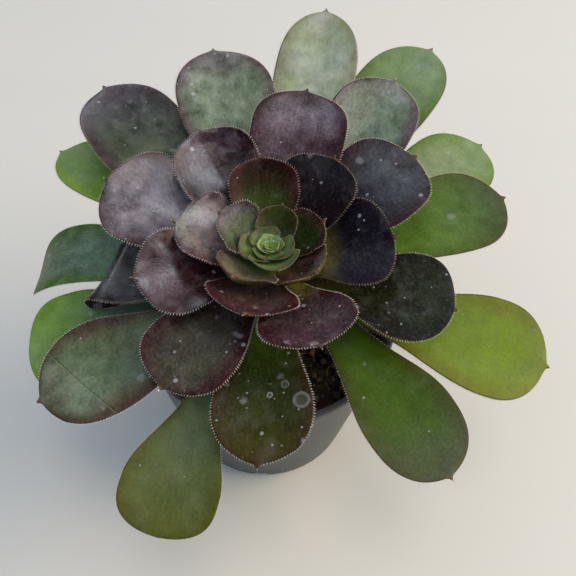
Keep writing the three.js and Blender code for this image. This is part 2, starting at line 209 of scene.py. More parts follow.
def wrapped_grid(low: float, high: float, rows: int, columns: int) -> tuple[np.ndarray, ...]:
    """Heights and angles of a grid that goes once round an upright bar."""
    turns = np.linspace(0, 2 * np.pi, columns, endpoint=False)
    return tuple(np.meshgrid(np.linspace(low, high, rows), turns, indexing="ij"))


def report(piece: bpy.types.Object) -> None:
    """Logs a finished piece with its number of faces."""
    log.info("%s: %d faces", piece.name, len(piece.data.polygons))


@dataclass
class Surface:
    """Points with their faces and the values that materials read at each point."""

    points: np.ndarray
    faces: list[np.ndarray]
    tint: np.ndarray
    place: np.ndarray
    marks: np.ndarray

    @classmethod
    def joined(cls, parts: list["Surface"]) -> "Surface":
        """All parts as one surface, each keeping its own points.

        Args:
            parts: the surfaces to put together.

        Returns:
            One surface with the points and faces of all.
        """
        faces, start = [], 0
        for part in parts:
            faces += [f + start for f in part.faces]
            start += len(part.points)
        return cls(
            np.concatenate([p.points for p in parts]),
            faces,
            np.concatenate([p.tint for p in parts]),
            np.concatenate([p.place for p in parts]),
            np.concatenate([p.marks for p in parts]),
        )

    @classmethod
    def plain(cls, points: np.ndarray, faces: list[np.ndarray], tint: np.ndarray) -> "Surface":
        """A surface with its faces outwards, whose patterns read the places of its own points."""
        return cls(points, faces, tint, points.copy(), np.zeros_like(points)).outward()

    def volume(self) -> float:
        """Volume inside the faces, from the signed tetrahedra between each face and the origin.

        Returns:
            The volume, negative if the faces point inwards.
        """
        total = 0.0
        for f in self.faces:
            for k in range(1, f.shape[1] - 1):
                a, b, c = self.points[f[:, 0]], self.points[f[:, k]], self.points[f[:, k + 1]]
                total += float(np.einsum("ij,ij->", a, np.cross(b, c))) / 6
        return total

    def outward(self) -> "Surface":
        """Turns the faces outwards.

        Returns:
            The surface itself.
        """
        if self.volume() < 0:
            self.faces = [f[:, ::-1] for f in self.faces]
        return self

    def piece(self, name: str, material: bpy.types.Material, slot: Slot) -> bpy.types.Object:
        """Makes the surface a piece of the part that rides on its body.

        Args:
            name: the piece's name.
            material: its finish.
            slot: the record's slot for it, which is not used.

        Returns:
            The object, with its place in its mesh.
        """
        mesh = bpy.data.meshes.new(name)
        mesh.from_pydata((self.points * MM).tolist(), [], [row for f in self.faces for row in f.tolist()])
        mesh.polygons.foreach_set("use_smooth", np.ones(len(mesh.polygons), bool))
        rgba = np.concatenate([self.tint, np.ones((len(self.tint), 1))], axis=1)
        mesh.attributes.new("tint", "FLOAT_COLOR", "POINT").data.foreach_set("color", rgba.ravel())
        mesh.attributes.new("place", "FLOAT_VECTOR", "POINT").data.foreach_set("vector", self.place.ravel())
        mesh.attributes.new("marks", "FLOAT_VECTOR", "POINT").data.foreach_set("vector", self.marks.ravel())
        mesh.materials.append(material)
        mesh.update()
        obj = bpy.data.objects.new(name, mesh)
        bpy.context.scene.collection.objects.link(obj)
        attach(obj, BODY)
        return obj


def tube_faces(rows: int, columns: int) -> list[np.ndarray]:
    """Faces of a closed tube of rows of points, with one more point at each end that closes it as a fan.

    Args:
        rows: rings of points along the tube.
        columns: points in each ring.

    Returns:
        The quads of the wall, then the triangles of both ends.
    """
    r, c = np.meshgrid(np.arange(rows - 1), np.arange(columns), indexing="ij")
    after = (c + 1) % columns
    here, above = r * columns, (r + 1) * columns
    quads = np.stack([here + c, above + c, above + after, here + after], -1)
    ring = np.arange(columns)
    turn = (ring + 1) % columns
    low, high = rows * columns, rows * columns + 1
    last = (rows - 1) * columns
    first_fan = np.stack([np.full(columns, low), ring, turn], -1)
    last_fan = np.stack([np.full(columns, high), last + turn, last + ring], -1)
    return [quads.reshape(-1, 4), np.concatenate([first_fan, last_fan])]


class NodeBench:
    """Adds and links the nodes of one material."""

    def __init__(self, name: str) -> None:
        """Starts a material with its main shader and output.

        Args:
            name: the material's name.
        """
        self.material = bpy.data.materials.new(name)
        self.material.use_nodes = True
        self.tree = self.material.node_tree
        self.shader = self.tree.nodes["Principled BSDF"]

    def add(self, kind: str, inputs: dict | None = None, **settings: object) -> bpy.types.Node:
        """Adds a node.

        Args:
            kind: its type, without the ShaderNode prefix.
            inputs: input name or number to a value or to the socket that feeds it.
            settings: the node's own settings.

        Returns:
            The node.
        """
        node = self.tree.nodes.new("ShaderNode" + kind)
        for key, value in settings.items():
            setattr(node, key, value)
        for key, value in (inputs or {}).items():
            self.feed(node.inputs[key], value)
        return node

    def feed(self, socket: bpy.types.NodeSocket, value: object) -> None:
        """Links a socket to another, or sets its value.

        Args:
            socket: the socket to feed.
            value: another node's output, or a value.
        """
        if isinstance(value, bpy.types.NodeSocket):
            self.tree.links.new(value, socket)
        else:
            socket.default_value = value

    def attribute(self, name: str, output: str) -> bpy.types.NodeSocket:
        """A value that the piece carries at its points."""
        return self.add("Attribute", attribute_name=name).outputs[output]

    def math(self, operation: str, *values: object) -> bpy.types.NodeSocket:
        """One sum on numbers or sockets."""
        return self.add("Math", dict(enumerate(values)), operation=operation).outputs[0]

    def vector(self, operation: str, a: object, b: object, output: str = "Vector") -> bpy.types.NodeSocket:
        """One sum on two vectors."""
        return self.add("VectorMath", {0: a, 1: b}, operation=operation).outputs[output]

    def product(self, first: object, *others: object) -> bpy.types.NodeSocket:
        """Several values times each other.

        Args:
            first: the value to start with.
            others: the values that it is multiplied by, in turn.

        Returns:
            Their product.
        """
        for other in others:
            first = self.math("MULTIPLY", first, other)
        return first

    def remainder(self, value: object) -> bpy.types.NodeSocket:
        """One less the value."""
        return self.math("SUBTRACT", 1.0, value)

    def balance(self, *parts: tuple[float, object]) -> bpy.types.NodeSocket:
        """Sum of noises about their middle value, each times its own weight.

        Args:
            parts: each noise's weight and the noise.

        Returns:
            A value that is zero on average.
        """
        total = None
        for weight, noise in parts:
            part = self.math("MULTIPLY_ADD", noise, weight, -0.5 * weight)
            total = part if total is None else self.math("ADD", total, part)
        return total

    def mix(self, a: object, b: object, share: object, blend: str = "MIX") -> bpy.types.NodeSocket:
        """Colour a turned towards b, or blended with it, by a share."""
        node = self.add("Mix", {0: share, 6: a, 7: b}, data_type="RGBA", blend_type=blend, clamp_factor=True)
        return node.outputs[2]

    def shaded(self, colour: object, level: object) -> bpy.types.NodeSocket:
        """The colour times a level of grey."""
        grey = self.add("CombineColor", {0: level, 1: level, 2: level}).outputs[0]
        return self.mix(colour, grey, 1.0, "MULTIPLY")

    def step(self, value: object, low: float, high: float) -> bpy.types.NodeSocket:
        """An S-curve from 0 at low to 1 at high."""
        inputs = {"Value": value, "From Min": low, "From Max": high}
        return self.add("MapRange", inputs, interpolation_type="SMOOTHSTEP").outputs[0]

    def noise(self, vector: object, scale: float, detail: float = 2.0) -> bpy.types.NodeSocket:
        """Soft noise of a scale."""
        return self.add("TexNoise", {"Vector": vector, "Scale": scale, "Detail": detail}).outputs[0]

    def stretched(self, vector: object, scale: tuple[float, float, float]) -> bpy.types.NodeSocket:
        """Places with each axis scaled, for a pattern that runs one way."""
        return self.add("Mapping", {"Vector": vector, "Scale": scale}).outputs[0]

    def relief(self, height: object, strength: float, distance: float) -> bpy.types.NodeSocket:
        """Normals of a fine relief, whose distance is in metres."""
        return self.add("Bump", {"Height": height, "Strength": strength, "Distance": distance}).outputs[0]

    def set_shader(self, **values: object) -> None:
        """Sets or links the main shader's sockets, named with _ for each space."""
        for key, value in values.items():
            self.feed(self.shader.inputs[key.replace("_", " ")], value)


@dataclass(frozen=True)
class Dots:
    """Pale specks of one size, one in some cells of a random lattice, with slightly ragged rims."""

    cell: float
    radius: float
    strength: float
    share: float
    soft: float = 0.6
    ragged: float = 0.5
    ragged_scale: float = 1.4
    least: float = 0.35

    def laid(self, bench: NodeBench, colour: object, place: object, share: object) -> bpy.types.NodeSocket:
        """Adds the specks to a leaf's colour.

        Args:
            bench: the material's bench.
            colour: the colour so far.
            place: the place across and along the blade, in mm.
            share: how many of the cells hold a speck.

        Returns:
            The colour with its specks.
        """
        noise = {"Vector": place, "Scale": self.ragged_scale / self.radius, "Detail": 2.0}
        wobble = bench.add("TexNoise", noise).outputs["Color"]
        shift = {0: wobble, 3: self.ragged * self.radius}
        moved = bench.add("VectorMath", shift, operation="SCALE").outputs[0]
        cells = bench.add("TexVoronoi", {"Vector": bench.vector("ADD", place, moved), "Scale": 1 / self.cell})
        pick = bench.add("SeparateColor", {0: cells.outputs["Color"]})
        spread, least = self.radius / self.cell, self.least * self.radius / self.cell
        size = bench.math("MULTIPLY_ADD", pick.outputs[1], spread, least)
        inside = bench.math("DIVIDE", cells.outputs["Distance"], size)
        dot = bench.remainder(bench.step(inside, self.soft, 1.0))
        chosen = bench.math("GREATER_THAN", bench.product(share, self.share), pick.outputs[0])
        return bench.mix(colour, opaque(WAX_AND_SHEEN), bench.product(dot, chosen, self.strength))


SPECK_SIZES = (
    Dots(cell=8.0, radius=1.4, strength=0.32, share=0.7, soft=0.4, ragged=0.9),
    Dots(cell=5.0, radius=0.75, strength=0.6, share=0.5, ragged=0.7),
    Dots(cell=2.6, radius=0.32, strength=0.75, share=0.45),
)


@dataclass(frozen=True)
class WaterRing:
    """The faint pale ring that a dried drop leaves at one place of a leaf. Inner, crest and outer are
    shares of its radius."""

    rank: int
    across: float
    along: float
    radius: float
    strength: float
    bend: float = 0.9
    bend_scale: float = 0.6
    inner: float = 0.5
    crest: float = 0.97
    outer: float = 1.12
    inside: float = 0.25

    def laid(self, bench: NodeBench, colour: object, place: object) -> bpy.types.NodeSocket:
        """Adds the ring: a band where the distance from its middle, bent a little by noise, nears its
        radius.

        Args:
            bench: the material's bench.
            colour: the colour so far.
            place: the place across and along the blade, in mm.

        Returns:
            The colour with its ring.
        """
        middle = (self.across, self.along, LAYER_STEP * self.rank)
        away = bench.vector("DISTANCE", place, middle, "Value")
        away = bench.math("ADD", away, bench.balance((self.bend, bench.noise(place, self.bend_scale))))
        inner, crest, outer = self.inner * self.radius, self.crest * self.radius, self.outer * self.radius
        rise = bench.math("MULTIPLY_ADD", bench.step(away, inner, crest), 1 - self.inside, self.inside)
        fall = bench.remainder(bench.step(away, crest, outer))
        return bench.mix(colour, opaque(WAX_AND_SHEEN), bench.product(rise, fall, self.strength))


@dataclass(frozen=True)
class Scratch:
    """A thin straight scored line across one leaf, pale on one side and dark on the other. Gap, inner and
    outer are shares of its half width."""

    rank: int
    start: tuple[float, float]
    end: tuple[float, float]
    half_width: float = 0.13
    bend: float = 0.6
    bend_scale: float = 0.5
    layer_reach: float = 5.0
    fade: float = 1.0
    gap: float = -2.4
    inner: float = 0.4
    outer: float = 1.6
    pale: tuple[Colour, float] = (PALE_GREEN, 0.5)
    dark: tuple[Colour, float] = (DARK_OLIVE, 0.6)

    def laid(self, bench: NodeBench, colour: object, place: object) -> bpy.types.NodeSocket:
        """Adds the line: a pale band and a dark one beside it, measured by the distance across the line.

        Args:
            bench: the material's bench.
            colour: the colour so far.
            place: the place across and along the blade, in mm.

        Returns:
            The colour with its line.
        """
        run = np.array(self.end) - np.array(self.start)
        length = float(np.linalg.norm(run))
        run = run / length
        rel = bench.vector("SUBTRACT", place, (*self.start, LAYER_STEP * self.rank))
        along = bench.vector("DOT_PRODUCT", rel, (*run, 0.0), "Value")
        across = bench.vector("DOT_PRODUCT", rel, (-run[1], run[0], 0.0), "Value")
        across = bench.math("ADD", across, bench.balance((self.bend, bench.noise(place, self.bend_scale))))
        layer = bench.math("ABSOLUTE", bench.add("SeparateXYZ", {"Vector": rel}).outputs[2])
        here = bench.math("LESS_THAN", layer, self.layer_reach)
        last = bench.remainder(bench.step(along, length - self.fade, length))
        shown = bench.product(here, bench.product(bench.step(along, 0.0, self.fade), last))
        for side, (tone, strength) in ((0.0, self.pale), (self.gap * self.half_width, self.dark)):
            off = bench.math("ABSOLUTE", bench.math("SUBTRACT", across, side))
            inner, outer = self.inner * self.half_width, self.outer * self.half_width
            band = bench.remainder(bench.step(off, inner, outer))
            colour = bench.mix(colour, opaque(tone), bench.product(band, shown, strength))
        return colour


LEAF_MARKS = (
    WaterRing(rank=28, across=11.0, along=37.7, radius=2.4, strength=0.3),
    WaterRing(rank=28, across=1.8, along=36.5, radius=0.9, strength=0.6),
    WaterRing(rank=28, across=6.0, along=33.0, radius=1.2, strength=0.25),
    Scratch(rank=31, start=(-13.0, 67.2), end=(16.2, 57.0)),
)


@dataclass(frozen=True)
class LeafSkin:
    """Waxy leaf skin: the point's own tint, with streaks along the blade, fine pores, pale specks and water
    rings. Each tone is the weight of a noise in the colour, and each span the two levels that its S-curve
    runs between."""

    name: str
    roughness: float
    specular: float
    bloom_share: float = 0.08
    bump: float = 0.13
    bump_height: float = 0.0006
    streak_scale: tuple[float, float, float] = (1.9, 0.26, 1.0)
    mottle_scale: float = 0.22
    pebble_scale: float = 1.05
    pore_scale: float = 2.4
    bloom_scale: float = 0.13
    bloom_bend: float = 0.9
    streak_tone: float = 0.4
    mottle_tone: float = 1.2
    pebble_tone: float = 0.75
    pore_tone: float = 0.5
    dust: float = 0.05
    dust_pebble_span: tuple[float, float] = (0.42, 0.72)
    dust_streak_span: tuple[float, float] = (0.35, 0.7)
    bloom_span: tuple[float, float] = (0.5, 0.66)
    bloom_mottle_span: tuple[float, float] = (0.35, 0.65)
    streak_height: float = 0.4
    mottle_height: float = 0.8
    pebble_height: float = 0.4
    pore_height: float = 0.2
    mottle_gloss: float = 0.5
    pebble_gloss: float = -0.3
    dull_gloss: float = 0.3
    glow: float = 0.06
    glow_radius: tuple[float, float, float] = (0.5, 1.0, 0.3)
    glow_depth: float = 0.002

    def material(self) -> bpy.types.Material:
        """Builds the skin's material: the tint times streaks, mottle, pebbles and pores, with a fine waxy
        dust on the high grains, then specks, rings and scratches, and the same grains in its gloss and its
        relief.

        Returns:
            The material.
        """
        bench = NodeBench(self.name)
        tint = bench.attribute("tint", "Color")
        place = bench.attribute("place", "Vector")
        marks = bench.add("SeparateXYZ", {"Vector": bench.attribute("marks", "Vector")})
        speck_share, grain_share, dull_share = marks.outputs
        streak = bench.noise(bench.stretched(place, self.streak_scale), 1.0, 4.0)
        mottle = bench.noise(place, self.mottle_scale, 6.0)
        pebble = bench.noise(place, self.pebble_scale, 3.0)
        pores = bench.noise(place, self.pore_scale, 2.0)
        fine = bench.balance((self.streak_tone, streak), (self.pebble_tone, pebble), (self.pore_tone, pores))
        level = bench.balance((self.mottle_tone, mottle), (1.0, bench.math("ADD", fine, 0.5)))
        colour = bench.shaded(tint, bench.math("MULTIPLY_ADD", level, grain_share, 1.0))
        high, raised = bench.step(pebble, *self.dust_pebble_span), bench.step(streak, *self.dust_streak_span)
        colour = bench.mix(colour, opaque(WAX_AND_SHEEN), bench.product(high, raised, grain_share, self.dust))
        cloud = {"Vector": place, "Scale": self.bloom_scale, "Detail": 5.0, "Distortion": self.bloom_bend}
        bloom = bench.step(bench.add("TexNoise", cloud).outputs[0], *self.bloom_span)
        patch = bench.step(mottle, *self.bloom_mottle_span)
        colour = bench.mix(colour, opaque(WAX_AND_SHEEN), bench.product(bloom, patch, grain_share, self.bloom_share))
        for dot in SPECK_SIZES:
            colour = dot.laid(bench, colour, place, speck_share)
        for mark in LEAF_MARKS:
            colour = mark.laid(bench, colour, place)
        height = bench.balance(
            (self.streak_height, streak), (self.mottle_height, mottle),
            (self.pebble_height, pebble), (self.pore_height, pores),
        )
        change = bench.balance((self.mottle_gloss, mottle), (self.pebble_gloss, pebble))
        rough = bench.math("ADD", change, self.roughness)
        bench.set_shader(
            Base_Color=colour,
            Roughness=bench.math("MULTIPLY_ADD", dull_share, self.dull_gloss, rough),
            Normal=bench.relief(bench.math("ADD", height, 0.5), self.bump, self.bump_height),
            Specular_IOR_Level=self.specular,
            Subsurface_Weight=self.glow,
            Subsurface_Radius=self.glow_radius,
            Subsurface_Scale=self.glow_depth,
        )
        return bench.material


@dataclass(frozen=True)
class TintSteps:
    """Where the colours of every leaf pass into each other. A span gives the two ends of an S-curve, as
    shares of the length or of the half width, and sizes are mm."""

    patch_size: float = 16.0
    patch_octaves: int = 3
    patch_lean: float = 0.05
    patch_edge: float = 0.1
    foot_start: float = 0.08
    flush_along: tuple[float, float] = (0.12, 0.5)
    flush_end: float = 1.03
    end_flush: float = 0.7
    end_span: tuple[float, float] = (0.84, 1.02)
    # The wax mix is partly real bloom and partly painted sheen: it is thickest in the middle of the blade and
    # thins towards the margins
    wax_and_sheen_size: float = 9.0
    wax_and_sheen_seed: int = 7
    even_wax_and_sheen: float = 0.6
    patchy_wax_and_sheen: float = 0.4
    margin_wax_and_sheen_loss: float = 0.8
    margin_span: tuple[float, float] = (0.5, 0.95)
    rim_share: float = 0.8
    rim_inset: tuple[float, float] = (0.05, 0.4)
    rim_along: tuple[float, float] = (0.05, 0.35)
    under_foot: float = 0.5
    under_foot_span: tuple[float, float] = (0.1, 0.5)
    under_flush: float = 0.45
    under_flush_span: tuple[float, float] = (0.5, 1.0)
    midrib_share: float = 0.12
    midrib_span: tuple[float, float] = (0.02, 0.16)
    top_span: tuple[float, float] = (-0.12, 0.12)
    cusp_span: tuple[float, float] = (-0.4, 0.5)
    cusp_share: float = 0.7
    needle_start: float = 0.55
    needle_share: float = 0.8
    calm_span: tuple[float, float] = (0.15, 0.4)
    under_dullness: float = 0.25


TINT_STEPS = TintSteps()


@dataclass(frozen=True)
class LeafLook:
    """Colours of one leaf: along its length, towards its margins, and on its underside."""

    foot: Colour
    blade: Colour
    tip: Colour
    flush: Colour = MAROON
    flush_share: float = 0.75
    flush_start: float = 0.45
    rim: Colour = RED_BROWN
    under: Colour = OLIVE
    foot_end: float = 0.45
    tip_start: float = 0.6
    # Share of pale wax, partly bloom and partly painted sheen in the middle of the blade
    wax_and_sheen: float = 0.12
    specks: float = 0.25
    grain: float = 1.0
    fringe: Colour = HAIR
    point: Colour = DUSKY_ROSE
    shade: float = 1.0
    skin: Skin = Skin.SATIN

    def tints(
        self, s: np.ndarray, t: np.ndarray, top: np.ndarray, along: np.ndarray, half: np.ndarray, seed: int
    ) -> np.ndarray:
        """Tint of each point: foot, blade and tip colours blended along the length by S-curves, the flush
        mixed in towards the margins, pale wax that is thickest in the middle of the blade, partly real bloom
        and partly painted sheen, a thin rim, patches by noise, and below, the underside's colour with a pale
        midrib.

        Args:
            s: share of the length.
            t: place across, -1 to 1.
            top: 1 on the upper face and 0 on the underside.
            along: distance from the foot.
            half: half width there.
            seed: chooses the patches.

        Returns:
            Linear colours, one for each point.
        """
        steps = TINT_STEPS
        spot = flat_spots(along, t * half)
        patch = rough_noise(spot, steps.patch_size, seed, steps.patch_octaves)
        lean = s + steps.patch_lean * patch
        edge = np.abs(t) + steps.patch_edge * patch
        foot, flush_colour, wax_and_sheen_colour = linear(self.foot), linear(self.flush), linear(WAX_AND_SHEEN)
        colour = mixed(foot, linear(self.blade), smooth(lean, steps.foot_start, self.foot_end))
        colour = mixed(colour, linear(self.tip), smooth(lean, self.tip_start, 1.0))
        reach = smooth(s, *steps.flush_along)
        flush = smooth(edge, self.flush_start, steps.flush_end) * reach
        flush = self.flush_share * np.maximum(flush, steps.end_flush * smooth(lean, *steps.end_span))
        colour = mixed(colour, flush_colour, flush)
        # Pale wax in patches, thickest in the middle of the blade and thinning to the margins: partly real
        # bloom, partly painted sheen where the waxy middle catches the light
        wax_and_sheen = steps.even_wax_and_sheen + steps.patchy_wax_and_sheen * rough_noise(spot, steps.wax_and_sheen_size, seed + steps.wax_and_sheen_seed)
        wax_and_sheen = self.wax_and_sheen * wax_and_sheen * (1 - steps.margin_wax_and_sheen_loss * smooth(edge, *steps.margin_span))
        colour = mixed(colour, wax_and_sheen_colour, np.clip(wax_and_sheen, 0, 1))
        rim = steps.rim_share * (1 - smooth((1 - np.abs(t)) * half, *steps.rim_inset))
        colour = mixed(colour, linear(self.rim), rim * smooth(s, *steps.rim_along))
        under = mixed(linear(self.under), foot, steps.under_foot * (1 - smooth(s, *steps.under_foot_span)))
        under_flush = steps.under_flush * self.flush_share * smooth(edge, *steps.under_flush_span)
        under = mixed(under, flush_colour, under_flush * reach)
        under = mixed(under, wax_and_sheen_colour, steps.midrib_share * (1 - smooth(np.abs(t), *steps.midrib_span)))
        return mixed(under, colour * self.shade, top)


@dataclass(frozen=True)
class LeafForm:
    """Grid, thicknesses and relief that leaves of one kind share, in mm. A span gives the two shares of the
    length between which a relief comes in."""

    rows: int = 64
    columns: int = 44
    row_gathering: float = 1.6
    midrib_steps: int = 60
    foot_thickness: float = 1.9
    blade_thickness: float = 1.5
    blade_start: float = 0.9
    margin_thickness: float = 0.8
    thickest: float = 1.7
    face_roundness: float = 0.45
    upper_share: float = 0.4
    cusp: float = 1.7
    cusp_lead: float = 2.8
    cusp_half_width: float = 3.8
    cusp_power: float = 1.4
    end_half_width: float = 0.03
    joining_power: int = 3
    sink: float = 1.4
    ripple: float = 0.012
    ripples: float = 2.3
    channel: float = 0.45
    channel_half_width: float = 0.17
    channel_span: tuple[float, float] = (0.1, 0.95)
    channel_end: float = 0.1
    wave: float = 0.45
    left_waves: float = 1.9
    right_waves: float = 2.2
    wave_span: tuple[float, float] = (0.25, 0.6)
    swell: float = 0.5
    swell_size: float = 13.0
    swell_seed: int = 50
    fold: float = 0.7
    fold_roundness: float = 0.02
    fold_middle: float = 0.55
    relief_span: tuple[float, float] = (0.2, 0.5)
    fold_end_span: tuple[float, float] = (0.9, 1.0)
    hair_length: float = 0.72
    hair_radius: float = 0.14
    hair_pitch: float = 0.84
    end_fullness: float = 2.8
    end_tapering: float = 0.8
    end_power: float = 0.5
    pointing: float = 0.1
    curl_ease: float = 1.3


GROWN_FORM = LeafForm()
HEART_FORM = LeafForm(
    rows=30, columns=24, foot_thickness=0.9, blade_thickness=0.9, margin_thickness=0.6, cusp=0.9,
    cusp_lead=1.3, cusp_half_width=2.2, sink=0.2, channel=0.1, wave=0.12, fold=0.0, hair_length=0.3,
    hair_radius=0.06, hair_pitch=0.36,
)


@dataclass(frozen=True)
class Stem:
    """The short woody stem's axis and radius, which every leaf stands on."""

    foot_height: float = 44.0
    top_height: float = 93.2
    radius: float = 6.6
    top_radius: float = 4.2
    taper_start: float = 84.0
    apex: tuple[float, float, float] = (1.0, 0.0, 96.0)
    lean: tuple[float, float, float] = (5.0, 1.0, 40.0)

    def axis(self, z: np.ndarray) -> np.ndarray:
        """Points of the axis: it leans in a straight line below the apex.

        Args:
            z: heights.

        Returns:
            The point at each height.
        """
        share = np.maximum(0, (self.apex[2] - z) / self.lean[2])
        x, y = (self.apex[i] + self.lean[i] * share for i in range(2))
        return np.stack([x, y, z + 0 * share], -1)

    def radius_at(self, z: np.ndarray) -> np.ndarray:
        """Radius at heights: even, then tapered to the growing point."""
        return ramp(z, self.taper_start, self.top_height, self.radius, self.top_radius)

    def beside(self, azimuth: float, distance: float, axis_height: float, z: float) -> np.ndarray:
        """The point at an azimuth and distance from the axis, at a height.

        Args:
            azimuth: direction from the axis, in degrees from +X.
            distance: how far from the axis.
            axis_height: where on the leaning axis it is measured from.
            z: the point's own height.

        Returns:
            The point.
        """
        x, y, _ = self.axis(np.array(axis_height, float))
        turn = math.radians(azimuth)
        return np.array([x + distance * math.cos(turn), y + distance * math.sin(turn), z])

    def round_bar(self, z: np.ndarray, angle: np.ndarray, radius: np.ndarray) -> np.ndarray:
        """Points at a radius round the axis, then the two of the axis that close its ends.

        Args:
            z: heights of the grid, a row for each ring.
            angle: angles of the grid.
            radius: the radius at each of its points.

        Returns:
            The points in the order that tube_faces takes them.
        """
        centre = self.axis(z)
        x, y = centre[..., 0] + radius * np.cos(angle), centre[..., 1] + radius * np.sin(angle)
        return np.concatenate([np.stack([x, y, z], -1).reshape(-1, 3), self.axis(z[[0, -1], 0])])


STEM = Stem()


@dataclass(frozen=True)
class Leaf:
    """One leaf of the spiral. Azimuth, reach and tip give its far end, bow and curl bend it down, roll
    turns its face, sweep bends it sideways, foot_turn moves its foot round the stem, skew slants the line
    that it curls across, point broadens its cusp and fold deepens its middle. Angles are degrees."""

    rank: int
    azimuth: float
    reach: float
    tip: float
    width: float
    bow: float
    look: LeafLook
    curl: float = 0.0
    curl_from: float = 0.6
    curl_to: float = 1.0
    roll: float = 0.0
    sweep: float = 0.0
    skew: float = 0.0
    foot_turn: float = 0.0
    peak: float | None = None
    waist: float | None = None
    point: float = 1.0
    fold: float = 1.0
    form: LeafForm = GROWN_FORM

    @property
    def name(self) -> str:
        """Name of the node that the leaf stands for."""
        return f"leaf_{self.rank:02d}"


# Some ranks, and a proportion of the leaves there, which changes in straight lines between them

FOOT_SHARES = ((8, 14, 22, 40), (0.46, 0.36, 0.28, 0.24))
PEAKS = ((8, 20, 40), (0.6, 0.7, 0.78))
WAISTS = ((8, 20, 40), (1.2, 1.4, 1.7))
CUPS = ((8, 13, 14, 22, 30), (0.38, 0.28, 0.2, 0.13, 0.08))


@dataclass(frozen=True)
class Outline:
    """A leaf's proportions: share of the width at its foot, where it is widest, its waist and its
    cupping."""

    foot_share: float
    peak: float
    waist: float
    cup: float

    @classmethod
    def grown(cls, leaf: Leaf) -> "Outline":
        """Proportions of a grown leaf, unless its own row gives its peak or waist.

        Args:
            leaf: the leaf's row.

        Returns:
            Its proportions.
        """
        return cls(
            foot_share=float(np.interp(leaf.rank, *FOOT_SHARES)),
            peak=leaf.peak or float(np.interp(leaf.rank, *PEAKS)),
            waist=leaf.waist or float(np.interp(leaf.rank, *WAISTS)),
            cup=float(np.interp(leaf.rank, *CUPS)),
        )

    def share(self, s: np.ndarray, fullness: float, power: float) -> np.ndarray:
        """Half width as a share of the widest: it swells from the foot by a squeezed sine, then ends in a
        curve that is a quarter of an ellipse at a power of one half, and more pointed at higher ones.

        Args:
            s: share of the length.
            fullness: how long the end keeps its width.
            power: how pointed the end is.

        Returns:
            The share of the widest half width, one for each point.
        """
        swell = np.sin(np.pi / 2 * np.clip(s / self.peak, 0, 1) ** self.waist) ** self.waist
        end = np.clip(1 - np.clip((s - self.peak) / (1 - self.peak), 0, 1) ** fullness, 0, 1) ** power
        return np.where(s < self.peak, self.foot_share + (1 - self.foot_share) * swell, end)


HEART_OUTLINE = Outline(foot_share=0.7, peak=0.55, waist=1.1, cup=0.5)


@dataclass(frozen=True)
class Hairs:
    """How the hairs of every margin stand. Starts, jitters and leans are shares of the pitch or of the
    length."""

    start: float = 0.14
    end: float = 0.2
    samples: int = 260
    jitter: tuple[float, float] = (0.38, 0.62)
    forward_lean: float = 0.35
    unrest: float = 0.09
    lengths: tuple[float, float] = (0.75, 1.2)
    tones: tuple[float, float] = (0.75, 1.05)
    root_depth: float = 0.15
    dullness: float = 0.6


HAIRS = Hairs()

# A leaf's own seed is its rank above this

SEED_START = 1000


